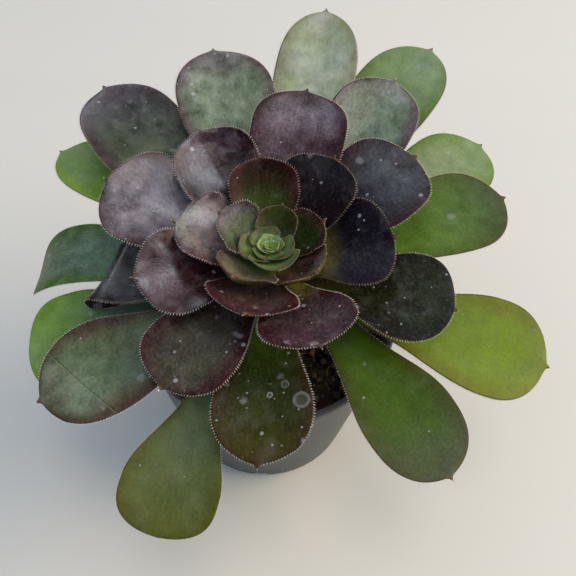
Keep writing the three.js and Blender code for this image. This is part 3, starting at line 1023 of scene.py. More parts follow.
class LeafBlade:
    """Works out one leaf's surface and fringe from its row."""

    def __init__(self, leaf: Leaf, outline: Outline, foot: np.ndarray, tip: np.ndarray) -> None:
        """Lays the midrib from foot to tip.

        Args:
            leaf: the leaf's row.
            outline: its proportions.
            foot: where it leaves the stem.
            tip: where its blade ends.
        """
        self.leaf = leaf
        self.form = leaf.form
        self.outline = outline
        self.random = np.random.default_rng(SEED_START + leaf.rank)
        self.phases = self.random.uniform(0, 1, 4)
        self.cusp = self.form.cusp * min(1.0, leaf.point)
        self.lay_midrib(foot, tip)

    def turned_down(self, k: np.ndarray) -> np.ndarray:
        """How far the blade has turned down at shares of its length: by its bow, and by its eased curl."""
        curl = ramp(k, self.leaf.curl_from, self.leaf.curl_to, 0, 1) ** self.form.curl_ease
        return math.radians(self.leaf.bow) * k + math.radians(self.leaf.curl) * curl

    def lay_midrib(self, foot: np.ndarray, tip: np.ndarray) -> None:
        """Midrib of even steps: its elevation falls by the bow and then by the eased curl, its heading
        turns by the sweep, and the whole is scaled so that it ends at the tip.

        Args:
            foot: where the leaf leaves the stem.
            tip: where the blade ends.
        """
        leaf, steps = self.leaf, self.form.midrib_steps
        chord = tip - foot
        elevation = math.atan2(chord[2], math.hypot(chord[0], chord[1]))
        heading = math.atan2(chord[1], chord[0])
        k = np.linspace(0, 1, steps + 1)
        middle = self.turned_down((k[:-1] + k[1:]) / 2)
        lift = elevation + math.atan2(np.sin(middle).sum(), np.cos(middle).sum()) - self.turned_down(k)
        turn = heading + math.radians(leaf.sweep) * (0.5 - k)
        forward = np.stack([np.cos(lift) * np.cos(turn), np.cos(lift) * np.sin(turn), np.sin(lift)], -1)
        side = np.stack([-np.sin(turn), np.cos(turn), 0 * turn], -1)
        up = np.cross(forward, side)
        roll = (math.radians(leaf.roll) * k)[:, None]
        stretches = (forward[1:] + forward[:-1]) / 2 / steps
        points = np.concatenate([np.zeros((1, 3)), np.cumsum(stretches, axis=0)])
        self.length = float(np.linalg.norm(chord) / np.linalg.norm(points[-1]))
        self.k = k
        self.points = points * self.length + foot
        self.forward = forward
        self.side = side * np.cos(roll) + up * np.sin(roll)
        self.up = up * np.cos(roll) - side * np.sin(roll)

    def along_rib(self, values: np.ndarray, s: np.ndarray) -> np.ndarray:
        """Values of the midrib at shares of its length, between its two nearest steps."""
        return np.stack([np.interp(s, self.k, values[:, i]) for i in range(3)], -1)

    def half_width(self, along: np.ndarray) -> np.ndarray:
        """Half width: the outline's share with a slight ripple, joined at the end by the narrow cusp as the
        root of their summed powers.

        Args:
            along: distances from the foot.

        Returns:
            The half width at each of them.
        """
        form, leaf = self.form, self.leaf
        s = np.clip(along / self.length, 0, 1)
        power = form.end_power + form.pointing * leaf.point
        fullness = form.end_fullness - form.end_tapering * (leaf.point - 1)
        body = leaf.width / 2 * self.outline.share(s, fullness, power)
        body = body * (1 + form.ripple * np.sin(2 * np.pi * (form.ripples * s + self.phases[0])))
        lead = form.cusp_lead * leaf.point
        run = np.clip((along - self.length + lead) / (lead + self.cusp), 0, 1)
        cusp = form.cusp_half_width * leaf.point * (1 - run) ** form.cusp_power + form.end_half_width
        return (body**form.joining_power + cusp**form.joining_power) ** (1 / form.joining_power)

    def lift(self, s: np.ndarray, t: np.ndarray, along: np.ndarray, across: np.ndarray) -> np.ndarray:
        """Height of the blade's middle layer over its midrib: the cupping (the square of the place across),
        a channel along the middle, a wave that grows to the margins, a slow swell, and a shallow fold like
        an open V.

        Args:
            s: share of the length.
            t: place across, -1 to 1.
            along: distance from the foot.
            across: distance from the midrib.

        Returns:
            The height at each point.
        """
        form, leaf = self.form, self.leaf
        cupping = self.outline.cup * across**2 / (leaf.width / 2)
        groove = np.exp(-((t / form.channel_half_width) ** 2))
        channel = -form.channel * groove * ramp(s, *form.channel_span, 1, form.channel_end)
        left = np.sin(2 * np.pi * (form.left_waves * s + self.phases[1]))
        right = np.sin(2 * np.pi * (form.right_waves * s + self.phases[2]))
        wave = form.wave * t**2 * np.where(t > 0, left, right) * smooth(s, *form.wave_span)
        relief = lattice_noise(flat_spots(along, across), form.swell_size, leaf.rank + form.swell_seed)
        swell = form.swell * form.wave * relief * smooth(s, *form.relief_span)
        fold = form.fold * leaf.fold * (np.sqrt(t**2 + form.fold_roundness) - form.fold_middle)
        fold = fold * smooth(s, *form.relief_span) * (1 - smooth(s, *form.fold_end_span))
        return cupping + channel + wave + swell + fold

    def at(self, along: np.ndarray, t: np.ndarray, lobe: np.ndarray) -> np.ndarray:
        """Points of the blade's skin.

        The midrib's point is moved sideways by t half widths and up by the lift and the thickness, which
        rounds off as a power of lobe at the margins. On a skewed leaf the flat blade is first turned about
        its foot, so that it curls across a slanting line.

        Args:
            along: distance from the foot.
            t: place across, -1 to 1.
            lobe: 1 in the middle of the upper face, -1 in the middle of the underside, 0 at the margins.

        Returns:
            The points, in mm.
        """
        form, leaf = self.form, self.leaf
        s = np.clip(along / self.length, 0, 1)
        half = self.half_width(along)
        across = half * t
        middle = ramp(s, 0, form.blade_start, form.foot_thickness, form.blade_thickness)
        thick = np.minimum(middle + (form.margin_thickness - middle) * t**2, form.thickest * half)
        face = np.where(lobe >= 0, form.upper_share, form.upper_share - 1)
        face = face * np.abs(lobe) ** form.face_roundness
        height = self.lift(s, t, along, across) + face * thick
        ahead, aside = math.cos(math.radians(leaf.skew)), math.sin(math.radians(leaf.skew))
        reach, off = ahead * along + aside * across, ahead * across - aside * along
        k = np.clip(reach / self.length, 0, 1)
        past = np.maximum(reach - self.length, 0) + np.minimum(reach, 0)
        point = self.along_rib(self.points, k) + self.along_rib(self.forward, k) * past[..., None]
        point = point + self.along_rib(self.side, k) * off[..., None]
        return point + self.along_rib(self.up, k) * height[..., None]

    def blade(self) -> Surface:
        """The leaf's closed skin: rows close up towards the tip, and each row goes once round the section
        with its points gathered at the margins by a cosine.

        Returns:
            The skin with its tints, pattern places and marks.
        """
        form, leaf, look = self.form, self.leaf, self.leaf.look
        q = np.linspace(0, 1, form.rows)
        run = -form.sink + (1 - (1 - q) ** form.row_gathering) * (self.length + self.cusp + form.sink)
        phi = np.linspace(0, 2 * np.pi, form.columns, endpoint=False)
        along, angle = np.meshgrid(run, phi, indexing="ij")
        t, lobe = np.cos(angle), np.sin(angle)
        points = self.at(along, t, lobe)
        s = np.clip(along / self.length, 0, 1)
        half = self.half_width(along)
        top = smooth(lobe, *TINT_STEPS.top_span)
        tint = look.tints(s, t, top, along, half, leaf.rank)
        low, high = (self.length + share * self.cusp for share in TINT_STEPS.cusp_span)
        cusp = smooth(along, low, high)
        needle = smooth(along, self.length + TINT_STEPS.needle_start * self.cusp, self.length + self.cusp)
        tint = mixed(tint, linear(look.point), TINT_STEPS.cusp_share * cusp)
        tint = mixed(tint, linear(look.fringe), TINT_STEPS.needle_share * needle)
        place = np.stack([t * half, along, LAYER_STEP * (leaf.rank + 0.5 * (lobe < 0))], -1)
        calm = smooth(s, *TINT_STEPS.calm_span) * (1 - cusp)
        marks = np.stack([look.specks * calm, look.grain + 0 * s, TINT_STEPS.under_dullness * (1 - top)], -1)
        flat = [a.reshape(-1, 3) for a in (points, tint, place, marks)]
        ring = form.columns
        closed = [np.concatenate([a, [a[:ring].mean(0)], [a[-ring:].mean(0)]]) for a in flat]
        return Surface(closed[0], tube_faces(form.rows, form.columns), *closed[1:]).outward()

    def margin(self, hand: float) -> list[np.ndarray]:
        """Roots of one margin's hairs, set at an even pitch with a little seeded jitter.

        Args:
            hand: -1 or 1, for the side of the midrib.

        Returns:
            Each hair's root, its direction outwards and forwards, and the blade's up there.
        """
        run = np.linspace(HAIRS.start * self.length, self.length + HAIRS.end * self.cusp, HAIRS.samples)
        line = self.at(run, np.full_like(run, hand), np.zeros_like(run))
        arc = np.concatenate([[0], np.cumsum(np.linalg.norm(np.diff(line, axis=0), axis=1))])
        count = int(arc[-1] / self.form.hair_pitch)
        where = (np.arange(count) + self.random.uniform(*HAIRS.jitter, count)) * self.form.hair_pitch
        tangent = unit(np.gradient(line, axis=0))
        up = self.along_rib(self.up, np.clip(run / self.length, 0, 1))
        lean = unit(hand * np.cross(up, tangent)) + HAIRS.forward_lean * tangent
        return [np.stack([np.interp(where, arc, a[:, i]) for i in range(3)], -1) for a in (line, lean, up)]

    def fringe(self) -> Surface:
        """Short stiff hairs along both margins: each is a three-sided spike whose root is sunk in the
        margin, leaning outwards and forwards.

        Returns:
            All hairs as one surface.
        """
        margins = [self.margin(hand) for hand in (-1.0, 1.0)]
        root, axis, up = (np.concatenate(part) for part in zip(*margins))
        count = len(root)
        axis = unit(axis + self.random.normal(0, HAIRS.unrest, (count, 3)))
        across = unit(np.cross(axis, up))
        third = np.cross(across, axis)
        length = self.form.hair_length * self.random.uniform(*HAIRS.lengths, count)[:, None]
        turns = 2 * np.pi * np.arange(3) / 3
        base = root - HAIRS.root_depth * axis
        corners = [base + self.form.hair_radius * (math.cos(a) * across + math.sin(a) * third) for a in turns]
        points = np.stack([*corners, root + length * axis], 1).reshape(-1, 3)
        start = 4 * np.arange(count)[:, None]
        sides = np.array([[0, 1, 3], [1, 2, 3], [2, 0, 3], [2, 1, 0]])
        faces = (start[:, :, None] + sides[None]).reshape(-1, 3)
        tone = linear(self.leaf.look.fringe) * self.random.uniform(*HAIRS.tones, (count, 1))
        marks = np.tile([0.0, 0.0, HAIRS.dullness], (len(points), 1))
        return Surface(points, [faces], np.repeat(tone, 4, axis=0), points.copy(), marks).outward()

    def surface(self) -> Surface:
        """The blade with its fringe."""
        return Surface.joined([self.blade(), self.fringe()])


# Each row gives rank, azimuth, reach, height of the tip, width and bow, then the look

GROWN_LEAVES = (
    Leaf(
        8, 158, 16.8, 104, 19, -35,
        LeafLook(
            FRESH_GREEN, GREY_GREEN, LILAC_GREY, flush=DUSKY_PURPLE, flush_share=0.8, rim=FRESH_GREEN,
            tip_start=0.5, grain=1.6, wax_and_sheen=0.08,
        ),
    ),
    Leaf(
        9, 27, 18, 100, 17, -32,
        LeafLook(DEEP_GREEN, DEEP_GREEN, BROWN, flush=MAROON, wax_and_sheen=0.0, grain=1.4, fringe=DIM_HAIR),
    ),
    Leaf(
        10, 240, 20, 102, 19.5, -45,
        LeafLook(
            FRESH_GREEN, OLIVE_BEIGE, DUSKY_ROSE, flush=DUSKY_PURPLE, flush_share=0.8, wax_and_sheen=0.1, grain=1.2,
            fringe=DIM_HAIR,
        ),
    ),
    Leaf(
        11, 100, 28, 108, 22, -15,
        LeafLook(
            LEAF_GREEN, DARK_BROWN, DARK_BROWN, flush=MAROON, flush_share=0.9, foot_end=0.95, wax_and_sheen=0.0,
            specks=0.6, fringe=DIM_HAIR,
        ),
    ),
    Leaf(
        12, 318, 18, 99, 20.5, -30,
        LeafLook(
            OLIVE, BROWN, OLIVE_BEIGE, flush=MAROON, flush_share=0.6, wax_and_sheen=0.05, grain=2.2, fringe=DIM_HAIR,
            shade=1.25,
        ),
    ),
    Leaf(
        13, 172.5, 30, 102, 26.5, 15,
        LeafLook(
            OLIVE_BEIGE, BEIGE_PINK, SAGE, flush=DUSKY_PURPLE, flush_share=0.95, rim=ROSE, grain=2.0,
            skin=Skin.WAXY,
        ),
        foot_turn=5, point=1.7,
    ),
    Leaf(
        14, 57, 34, 108, 26, 0,
        LeafLook(DARK_OLIVE, PURPLE_BLACK, SLATE, flush=PURPLE_BLACK, rim=MAROON, wax_and_sheen=0.0, fringe=DIM_HAIR),
        foot_turn=-5,
    ),
    Leaf(
        15, 256, 28, 98, 28, -20,
        LeafLook(DARK_OLIVE, BROWN, MAROON, flush=MAROON, foot_end=0.7, wax_and_sheen=0.06, specks=0.8, grain=1.6),
    ),
    Leaf(
        16, 126, 44, 111, 28, 0,
        LeafLook(
            DARK_BROWN, PURPLE_BLACK, DUSKY_PURPLE, flush=DEEP_MAROON, flush_share=1.0, flush_start=0.6,
            wax_and_sheen=0.08, grain=1.7, skin=Skin.WAXY,
        ),
        roll=-8, foot_turn=5, fold=2.6,
    ),
    Leaf(
        17, 7, 38, 98, 31, 0,
        LeafLook(
            YELLOW_OLIVE, BLUE_BLACK, BLUE_BLACK, flush=BLUE_BLACK, rim=MAROON, foot_end=0.55, wax_and_sheen=0.0,
            fringe=DIM_HAIR,
        ),
        roll=15,
    ),
    Leaf(
        18, 201.5, 43, 98, 26, 10,
        LeafLook(
            DARK_BROWN, MAROON, DUSKY_PURPLE, flush=DEEP_MAROON, flush_share=1.0, flush_start=0.6, wax_and_sheen=0.03,
            shade=0.85, grain=2.0, fringe=WHITE_HAIR, skin=Skin.WAXY,
        ),
        roll=-30, foot_turn=5, point=1.7,
    ),
    # Leaf 19 has a satin skin, and its lilac-grey tip, far lighter than its purple-black foot, is painted
    # sheen on the outer half of its blade
    Leaf(
        19, 81, 56, 114, 32, 18,
        LeafLook(
            PURPLE_BLACK, DUSKY_PURPLE, LILAC_GREY, flush=DEEP_MAROON, flush_share=1.0, flush_start=0.6,
            foot_end=0.9, wax_and_sheen=0.12, grain=1.8, shade=1.15,
        ),
    ),
    Leaf(
        20, 294, 37, 93, 30, 10,
        LeafLook(
            YELLOW_OLIVE, DEEP_MAROON, DUSKY_PURPLE, flush=DEEP_MAROON, foot_end=0.45, wax_and_sheen=0.06, specks=1.5,
            grain=1.8, fringe=WHITE_HAIR,
        ),
    ),
    Leaf(
        21, 161, 57, 104, 34, 5,
        LeafLook(
            LILAC_GREY, LILAC_GREY, LILAC_GREY, flush=DEEP_MAROON, flush_share=1.0, flush_start=0.6, wax_and_sheen=0.24,
            specks=0.6, grain=1.8, fringe=WHITE_HAIR, skin=Skin.WAXY,
        ),
        roll=-15,
    ),
    Leaf(
        22, 37, 56, 106, 33.5, 12,
        LeafLook(
            DARK_BROWN, BLUE_BLACK, STEEL, flush=DEEP_MAROON, foot_end=0.7, tip_start=0.4, wax_and_sheen=0.04,
            specks=1.0, grain=1.4,
        ),
        roll=8, foot_turn=-5,
    ),
    Leaf(
        23, 237, 54, 86, 29.5, 10,
        LeafLook(
            DARK_BROWN, OLIVE_GREY, OLIVE_GREY, flush=MAROON, flush_share=0.85, foot_end=0.85, wax_and_sheen=0.05,
            specks=1.3, grain=1.5, fringe=WHITE_HAIR,
        ),
    ),
    Leaf(
        24, 108, 84, 112, 35, 0,
        LeafLook(
            GREY_GREEN, SEA_GREEN, SEA_GREEN, flush=DUSKY_PURPLE, flush_share=1.0, flush_start=0.55, wax_and_sheen=0.16,
            specks=0.7, shade=1.1, grain=1.4, skin=Skin.WAXY,
        ),
    ),
    Leaf(
        25, 345, 58, 88, 32, 10,
        LeafLook(
            OLIVE, DARK_OLIVE, SLATE_GREEN, flush=BLUE_BLACK, flush_share=0.5, wax_and_sheen=0.0, specks=1.3, grain=1.4,
        ),
        roll=8,
    ),
    Leaf(
        26, 165.5, 40, 75.5, 25, -6,
        LeafLook(DARK_OLIVE, ASH, ASH, flush=DARK_BROWN, wax_and_sheen=0.14, under=BROWN, grain=1.4, skin=Skin.WAXY),
        skew=-22, curl=155, curl_from=0.715, curl_to=0.79, point=1.6,
    ),
    Leaf(
        27, 60, 78, 111, 32, -10,
        LeafLook(
            LEAF_GREEN, SEA_GREEN, SEA_GREEN, flush=DUSKY_PURPLE, flush_share=1.0, flush_start=0.55, wax_and_sheen=0.2,
            specks=0.6, shade=1.3, grain=1.5, skin=Skin.WAXY,
        ),
        roll=5,
    ),
    Leaf(
        28, 268.5, 64, 78, 28.5, 5,
        LeafLook(
            FRESH_GREEN, DEEP_GREEN, OLIVE, flush=BROWN, flush_share=0.6, foot_end=0.6, specks=1.2, wax_and_sheen=0.0,
            shade=0.85, fringe=WHITE_HAIR,
        ),
        point=1.6,
    ),
    Leaf(
        29, 135, 91, 105, 36, 0,
        LeafLook(
            FRESH_GREEN, GREY_GREEN, SLATE, flush=DUSKY_PURPLE, foot_end=0.65, wax_and_sheen=0.03, specks=1.1,
            shade=0.85, grain=1.3, skin=Skin.WAXY,
        ),
        sweep=10,
    ),
    Leaf(
        30, 20, 80, 95, 33, 5,
        LeafLook(
            LIME, FRESH_GREEN, GREY_GREEN, flush=BROWN, flush_share=0.4, wax_and_sheen=0.03, grain=0.7, shade=1.12,
        ),
        roll=5,
    ),
    Leaf(
        31, 216, 81, 79, 32, 10,
        LeafLook(
            LEAF_GREEN, GREY_GREEN, SEA_GREEN, flush=MAROON, flush_share=0.8, foot_end=0.7, specks=0.9,
            wax_and_sheen=0.14, grain=1.2, shade=1.2, fringe=WHITE_HAIR,
        ),
        roll=-5, sweep=10, point=1.3,
    ),
    Leaf(
        32, 82, 100, 118, 30, -15,
        LeafLook(
            SEA_GREEN, PALE_GREEN, PALE_GREEN, flush=DUSKY_ROSE, flush_share=0.5, wax_and_sheen=0.45, shade=1.35,
            grain=0.8, skin=Skin.WAXY,
        ),
    ),
    Leaf(
        33, 309, 82, 75, 29.5, 10,
        LeafLook(
            LEAF_GREEN, LEAF_GREEN, GREY_GREEN, flush=BROWN, flush_share=0.4, tip_start=0.7, wax_and_sheen=0.0,
            grain=0.6,
        ),
        foot_turn=40,
    ),
    Leaf(
        34, 176, 83, 66, 27, 5,
        LeafLook(
            FRESH_GREEN, BLUE_GREEN, GREY_GREEN, flush=LEAF_GREEN, rim=LEAF_GREEN, wax_and_sheen=0.1, shade=1.55,
            grain=1.3,
        ),
        curl=75, sweep=-10, foot_turn=10,
    ),
    Leaf(
        35, 38, 91, 93, 31, 10,
        LeafLook(
            LEAF_GREEN, PALE_GREEN, PALE_GREEN, flush=FRESH_GREEN, rim=LEAF_GREEN, wax_and_sheen=0.12, shade=1.3,
            grain=0.6,
        ),
        roll=5, sweep=-10,
    ),
    # Leaf 36's pale foot colour and raised shade partly paint light onto the foot, which lies in shadow under
    # leaves 23 and 31
    Leaf(
        36, 250.5, 86, 66, 28.5, 25,
        LeafLook(
            PALE_GREEN, GREY_GREEN, OLIVE_GREEN, flush=OLIVE, flush_share=0.6, rim=OLIVE, wax_and_sheen=0.05,
            foot_end=0.7, tip_start=0.45, grain=0.6, shade=1.45,
        ),
        sweep=-18, peak=0.83, waist=2.3, point=0.1,
    ),
    Leaf(
        37, 150, 91, 91, 27, 10,
        LeafLook(
            PALE_GREEN, FRESH_GREEN, FRESH_GREEN, flush=LIME, flush_share=0.4, rim=LEAF_GREEN, foot_end=0.8,
            shade=1.55, grain=0.6,
        ),
        sweep=-10, foot_turn=-10,
    ),
    Leaf(
        38, 343, 89, 75, 34, 10,
        LeafLook(
            DEEP_GREEN, LIME, LIME, flush=ROSE, flush_share=0.3, rim=MAROON, wax_and_sheen=0.05, grain=0.5, shade=1.08,
        ),
        roll=15,
    ),
    Leaf(
        39, 200.5, 81, 74, 33, 15,
        LeafLook(
            BLUE_GREEN, BLUE_GREEN, FRESH_GREEN, flush=FRESH_GREEN, flush_share=0.5, rim=LEAF_GREEN,
            tip_start=0.5, shade=1.6, grain=0.6,
        ),
        roll=-8, sweep=12, point=0.1,
    ),
    Leaf(
        40, 58.5, 101, 112, 33, -15,
        LeafLook(
            LEAF_GREEN, FRESH_GREEN, PALE_GREEN, flush=LEAF_GREEN, flush_share=0.4, wax_and_sheen=0.18, shade=1.45,
            grain=0.6,
        ),
        sweep=24,
    ),
)

BUD_LOOK = LeafLook(
    LIME, FRESH_GREEN, PALE_GREEN, flush=SEA_GREEN, flush_share=0.3, rim=PALE_GREEN, under=PALE_GREEN,
    specks=0.0, shade=1.5, fringe=DIM_HAIR,
)
YOUNG_LOOK = LeafLook(
    LEAF_GREEN, FRESH_GREEN, GREY_GREEN, flush=DUSKY_ROSE, flush_share=0.5, rim=DUSKY_ROSE,
    under=LEAF_GREEN, specks=0.0, fringe=DIM_HAIR,
)
CREST_LOOK = LeafLook(
    LEAF_GREEN, DEEP_GREEN, DEEP_GREEN, flush=MAROON, flush_share=0.5, rim=DUSKY_ROSE, under=DEEP_GREEN,
    specks=0.0, wax_and_sheen=0.0, shade=1.15, fringe=DIM_HAIR,
)

# Rank, azimuth, reach, height of the tip, width, bow and look of the heart's leaves, from the innermost
# outwards

HEART_ROWS = (
    (-3, 228, 1.6, 97.2, 3.4, -20, BUD_LOOK),
    (-2, 91, 2.2, 97.4, 4.2, -25, BUD_LOOK),
    (-1, 314, 2.9, 97.4, 5.2, -30, BUD_LOOK),
    (0, 186, 4, 97.6, 6.4, -35, BUD_LOOK),
    (1, 60, 4.4, 97.4, 7.6, -40, BUD_LOOK),
    (2, 260, 6.8, 98, 9, -45, YOUNG_LOOK),
    (3, 123, 7.2, 98.2, 10, -45, YOUNG_LOOK),
    (4, 330, 7.8, 98.2, 11.5, -45, YOUNG_LOOK),
    (5, 208, 10.2, 98.6, 13, -45, YOUNG_LOOK),
    (6, 78, 15, 100, 13, -45, CREST_LOOK),
    (7, 284, 12.4, 99.8, 15.5, -45, YOUNG_LOOK),
)
HEART_LEAVES = tuple(Leaf(*row, form=HEART_FORM) for row in HEART_ROWS)


@dataclass(frozen=True)
class Rosette:
    """All grown leaves, and the heart of small leaves at the growing point."""

    skins: tuple[LeafSkin, ...] = (
        LeafSkin(Skin.WAXY.value, roughness=0.27, specular=0.5),
        LeafSkin(Skin.SATIN.value, roughness=0.4, specular=0.09, bloom_share=0.05),
    )
    first_rank: int = 8
    first_dark_rank: int = 13
    first_green_rank: int = 28
    first_foot_height: float = 93.5
    foot_drop: float = 0.58
    gap: float = 0.3
    heart_foot_height: float = 94.2
    heart_foot_rise: float = 1.4
    heart_foot_radius: float = 0.4
    core_radius: float = 4.2
    core_top_radius: float = 2.5
    core_low: float = 93.5
    core_high: float = 95.7
    core_rows: int = 10
    core_columns: int = 32

    def slot_of(self, leaf: Leaf) -> Slot:
        """The record's slot of a grown leaf.

        Args:
            leaf: the leaf's row.

        Returns:
            The slot.
        """
        if leaf.rank < self.first_dark_rank:
            return Slot.INNER_LEAF
        return Slot.DARK_LEAF if leaf.rank < self.first_green_rank else Slot.GREEN_LEAF

    def grown(self, leaf: Leaf) -> LeafBlade:
        """A grown leaf's blade: its foot stands just clear of the stem, further out where it climbs or is
        turned.

        Args:
            leaf: the leaf's row.

        Returns:
            The blade, ready to be made.
        """
        height = self.first_foot_height - self.foot_drop * (leaf.rank - self.first_rank)
        outline = Outline.grown(leaf)
        form = leaf.form
        climb = math.atan2(leaf.tip - height, leaf.reach) + math.radians(leaf.bow) / 2
        clear = abs(math.sin(climb)) * form.foot_thickness * (1 - form.upper_share)
        clear += math.sin(math.radians(abs(leaf.foot_turn))) * outline.foot_share * leaf.width / 2
        out = float(STEM.radius_at(height)) + self.gap + clear
        foot = STEM.beside(leaf.azimuth + leaf.foot_turn, out, height, height)
        tip = STEM.beside(leaf.azimuth, leaf.reach, height, leaf.tip)
        return LeafBlade(leaf, outline, foot, tip)

    def young(self, leaf: Leaf) -> LeafBlade:
        """A heart leaf's blade, rooted at the growing point, the innermost highest.

        Args:
            leaf: the leaf's row.

        Returns:
            The blade, ready to be made.
        """
        inner, outer = HEART_LEAVES[0].rank, HEART_LEAVES[-1].rank
        height = self.heart_foot_height + float(ramp(leaf.rank, inner, outer, self.heart_foot_rise, 0))
        foot = STEM.beside(leaf.azimuth, self.heart_foot_radius, height, height)
        tip = STEM.beside(leaf.azimuth, leaf.reach, height, leaf.tip)
        return LeafBlade(leaf, HEART_OUTLINE, foot, tip)

    def core(self) -> Surface:
        """The growing point under the small leaves: a tapered round bar.

        Returns:
            Its closed surface.
        """
        z, angle = wrapped_grid(self.core_low, self.core_high, self.core_rows, self.core_columns)
        radius = ramp(z, self.core_low, self.core_high, self.core_radius, self.core_top_radius)
        points = STEM.round_bar(z, angle, radius)
        tint = np.tile(linear(LIME), (len(points), 1))
        return Surface.plain(points, tube_faces(self.core_rows, self.core_columns), tint)

    def build(self) -> None:
        """Makes every leaf and the heart, in place of their nodes."""
        skins = {skin.name: skin.material() for skin in self.skins}
        for leaf in GROWN_LEAVES:
            skin = skins[leaf.look.skin.value]
            piece = self.grown(leaf).surface().piece(f"{leaf.name}_blade", skin, self.slot_of(leaf))
            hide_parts(leaf.name)
            report(piece)
        parts = [self.young(leaf).surface() for leaf in HEART_LEAVES]
        heart = Surface.joined([self.core(), *parts]).piece("heart_leaves", skins[Skin.SATIN.value], Slot.BUD)
        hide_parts("heart")
        report(heart)


@dataclass(frozen=True)
class MattFinish:
    """A matt, grainy natural finish: the point's own tint, darkened and lightened by one noise that also
    roughens it."""

    name: str
    scale: float
    gain: float
    lift: float
    bump: float
    bump_height: float
    roughness: float
    specular: float

    def material(self) -> bpy.types.Material:
        """Builds the finish's material.

        Returns:
            The material.
        """
        bench = NodeBench(self.name)
        grain = bench.noise(bench.attribute("place", "Vector"), self.scale, 6.0)
        level = bench.math("ADD", bench.product(grain, self.gain), self.lift)
        bench.set_shader(
            Base_Color=bench.shaded(bench.attribute("tint", "Color"), level),
            Roughness=self.roughness,
            Normal=bench.relief(grain, self.bump, self.bump_height),
            Specular_IOR_Level=self.specular,
        )
        return bench.material


BARK = MattFinish(
    "stem_bark", scale=1.1, gain=1.1, lift=0.45, bump=0.5, bump_height=0.0006, roughness=0.8, specular=0.3,
)
POTTING_MIX = MattFinish(
    "potting_mix", scale=1.7, gain=1.6, lift=0.2, bump=0.8, bump_height=0.0008, roughness=0.9, specular=0.25,
)


@dataclass(frozen=True)
class StemPiece:
    """The stem's fine surface, with the scars of fallen leaves. A spiral is its turns and its rate along
    the stem, and spans of heights are mm."""

    rows: int = 120
    columns: int = 96
    scar_height: float = 0.5
    first_spiral: tuple[float, float] = (2.5, 0.42)
    second_spiral: tuple[float, float] = (4.0, 0.36)
    bare_span: tuple[float, float] = (76.0, 82.0)
    grain_radius: float = 8.0
    grain_length: float = 0.5
    grain_height: float = 0.12
    grain_size: float = 1.6
    grain_seed: int = 3
    inset: float = 0.15
    scar: Colour = (58, 44, 32)
    cork: Colour = (122, 104, 80)
    young: Colour = (96, 112, 52)
    scar_span: tuple[float, float] = (0.35, 0.95)
    young_share: float = 0.8
    young_span: tuple[float, float] = (78.0, 88.0)

    def build(self) -> None:
        """Makes the stem: a round bar along the leaning axis, raised in a net of lozenge scars by the
        product of two crossed spirals, and roughened by noise."""
        z, angle = wrapped_grid(STEM.foot_height, STEM.top_height, self.rows, self.columns)
        first = np.abs(np.sin(self.first_spiral[0] * angle + self.first_spiral[1] * z))
        second = np.abs(np.sin(self.second_spiral[0] * angle - self.second_spiral[1] * z))
        scar = np.sqrt(first * second)
        bare = 1 - smooth(z, *self.bare_span)
        x, y = self.grain_radius * np.cos(angle), self.grain_radius * np.sin(angle)
        grain = rough_noise(np.stack([x, y, self.grain_length * z], -1), self.grain_size, self.grain_seed)
        relief = self.scar_height * (scar - 1) * bare + self.grain_height * grain
        points = STEM.round_bar(z, angle, STEM.radius_at(z) - self.inset + relief)
        tint = mixed(linear(self.scar), linear(self.cork), smooth(scar, *self.scar_span))
        tint = mixed(tint, linear(self.young), self.young_share * smooth(z, *self.young_span)).reshape(-1, 3)
        tint = np.concatenate([tint, tint[:1], tint[-1:]])
        surface = Surface.plain(points, tube_faces(self.rows, self.columns), tint)
        piece = surface.piece("stem_bark", BARK.material(), Slot.STEM)
        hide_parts("stem")
        report(piece)


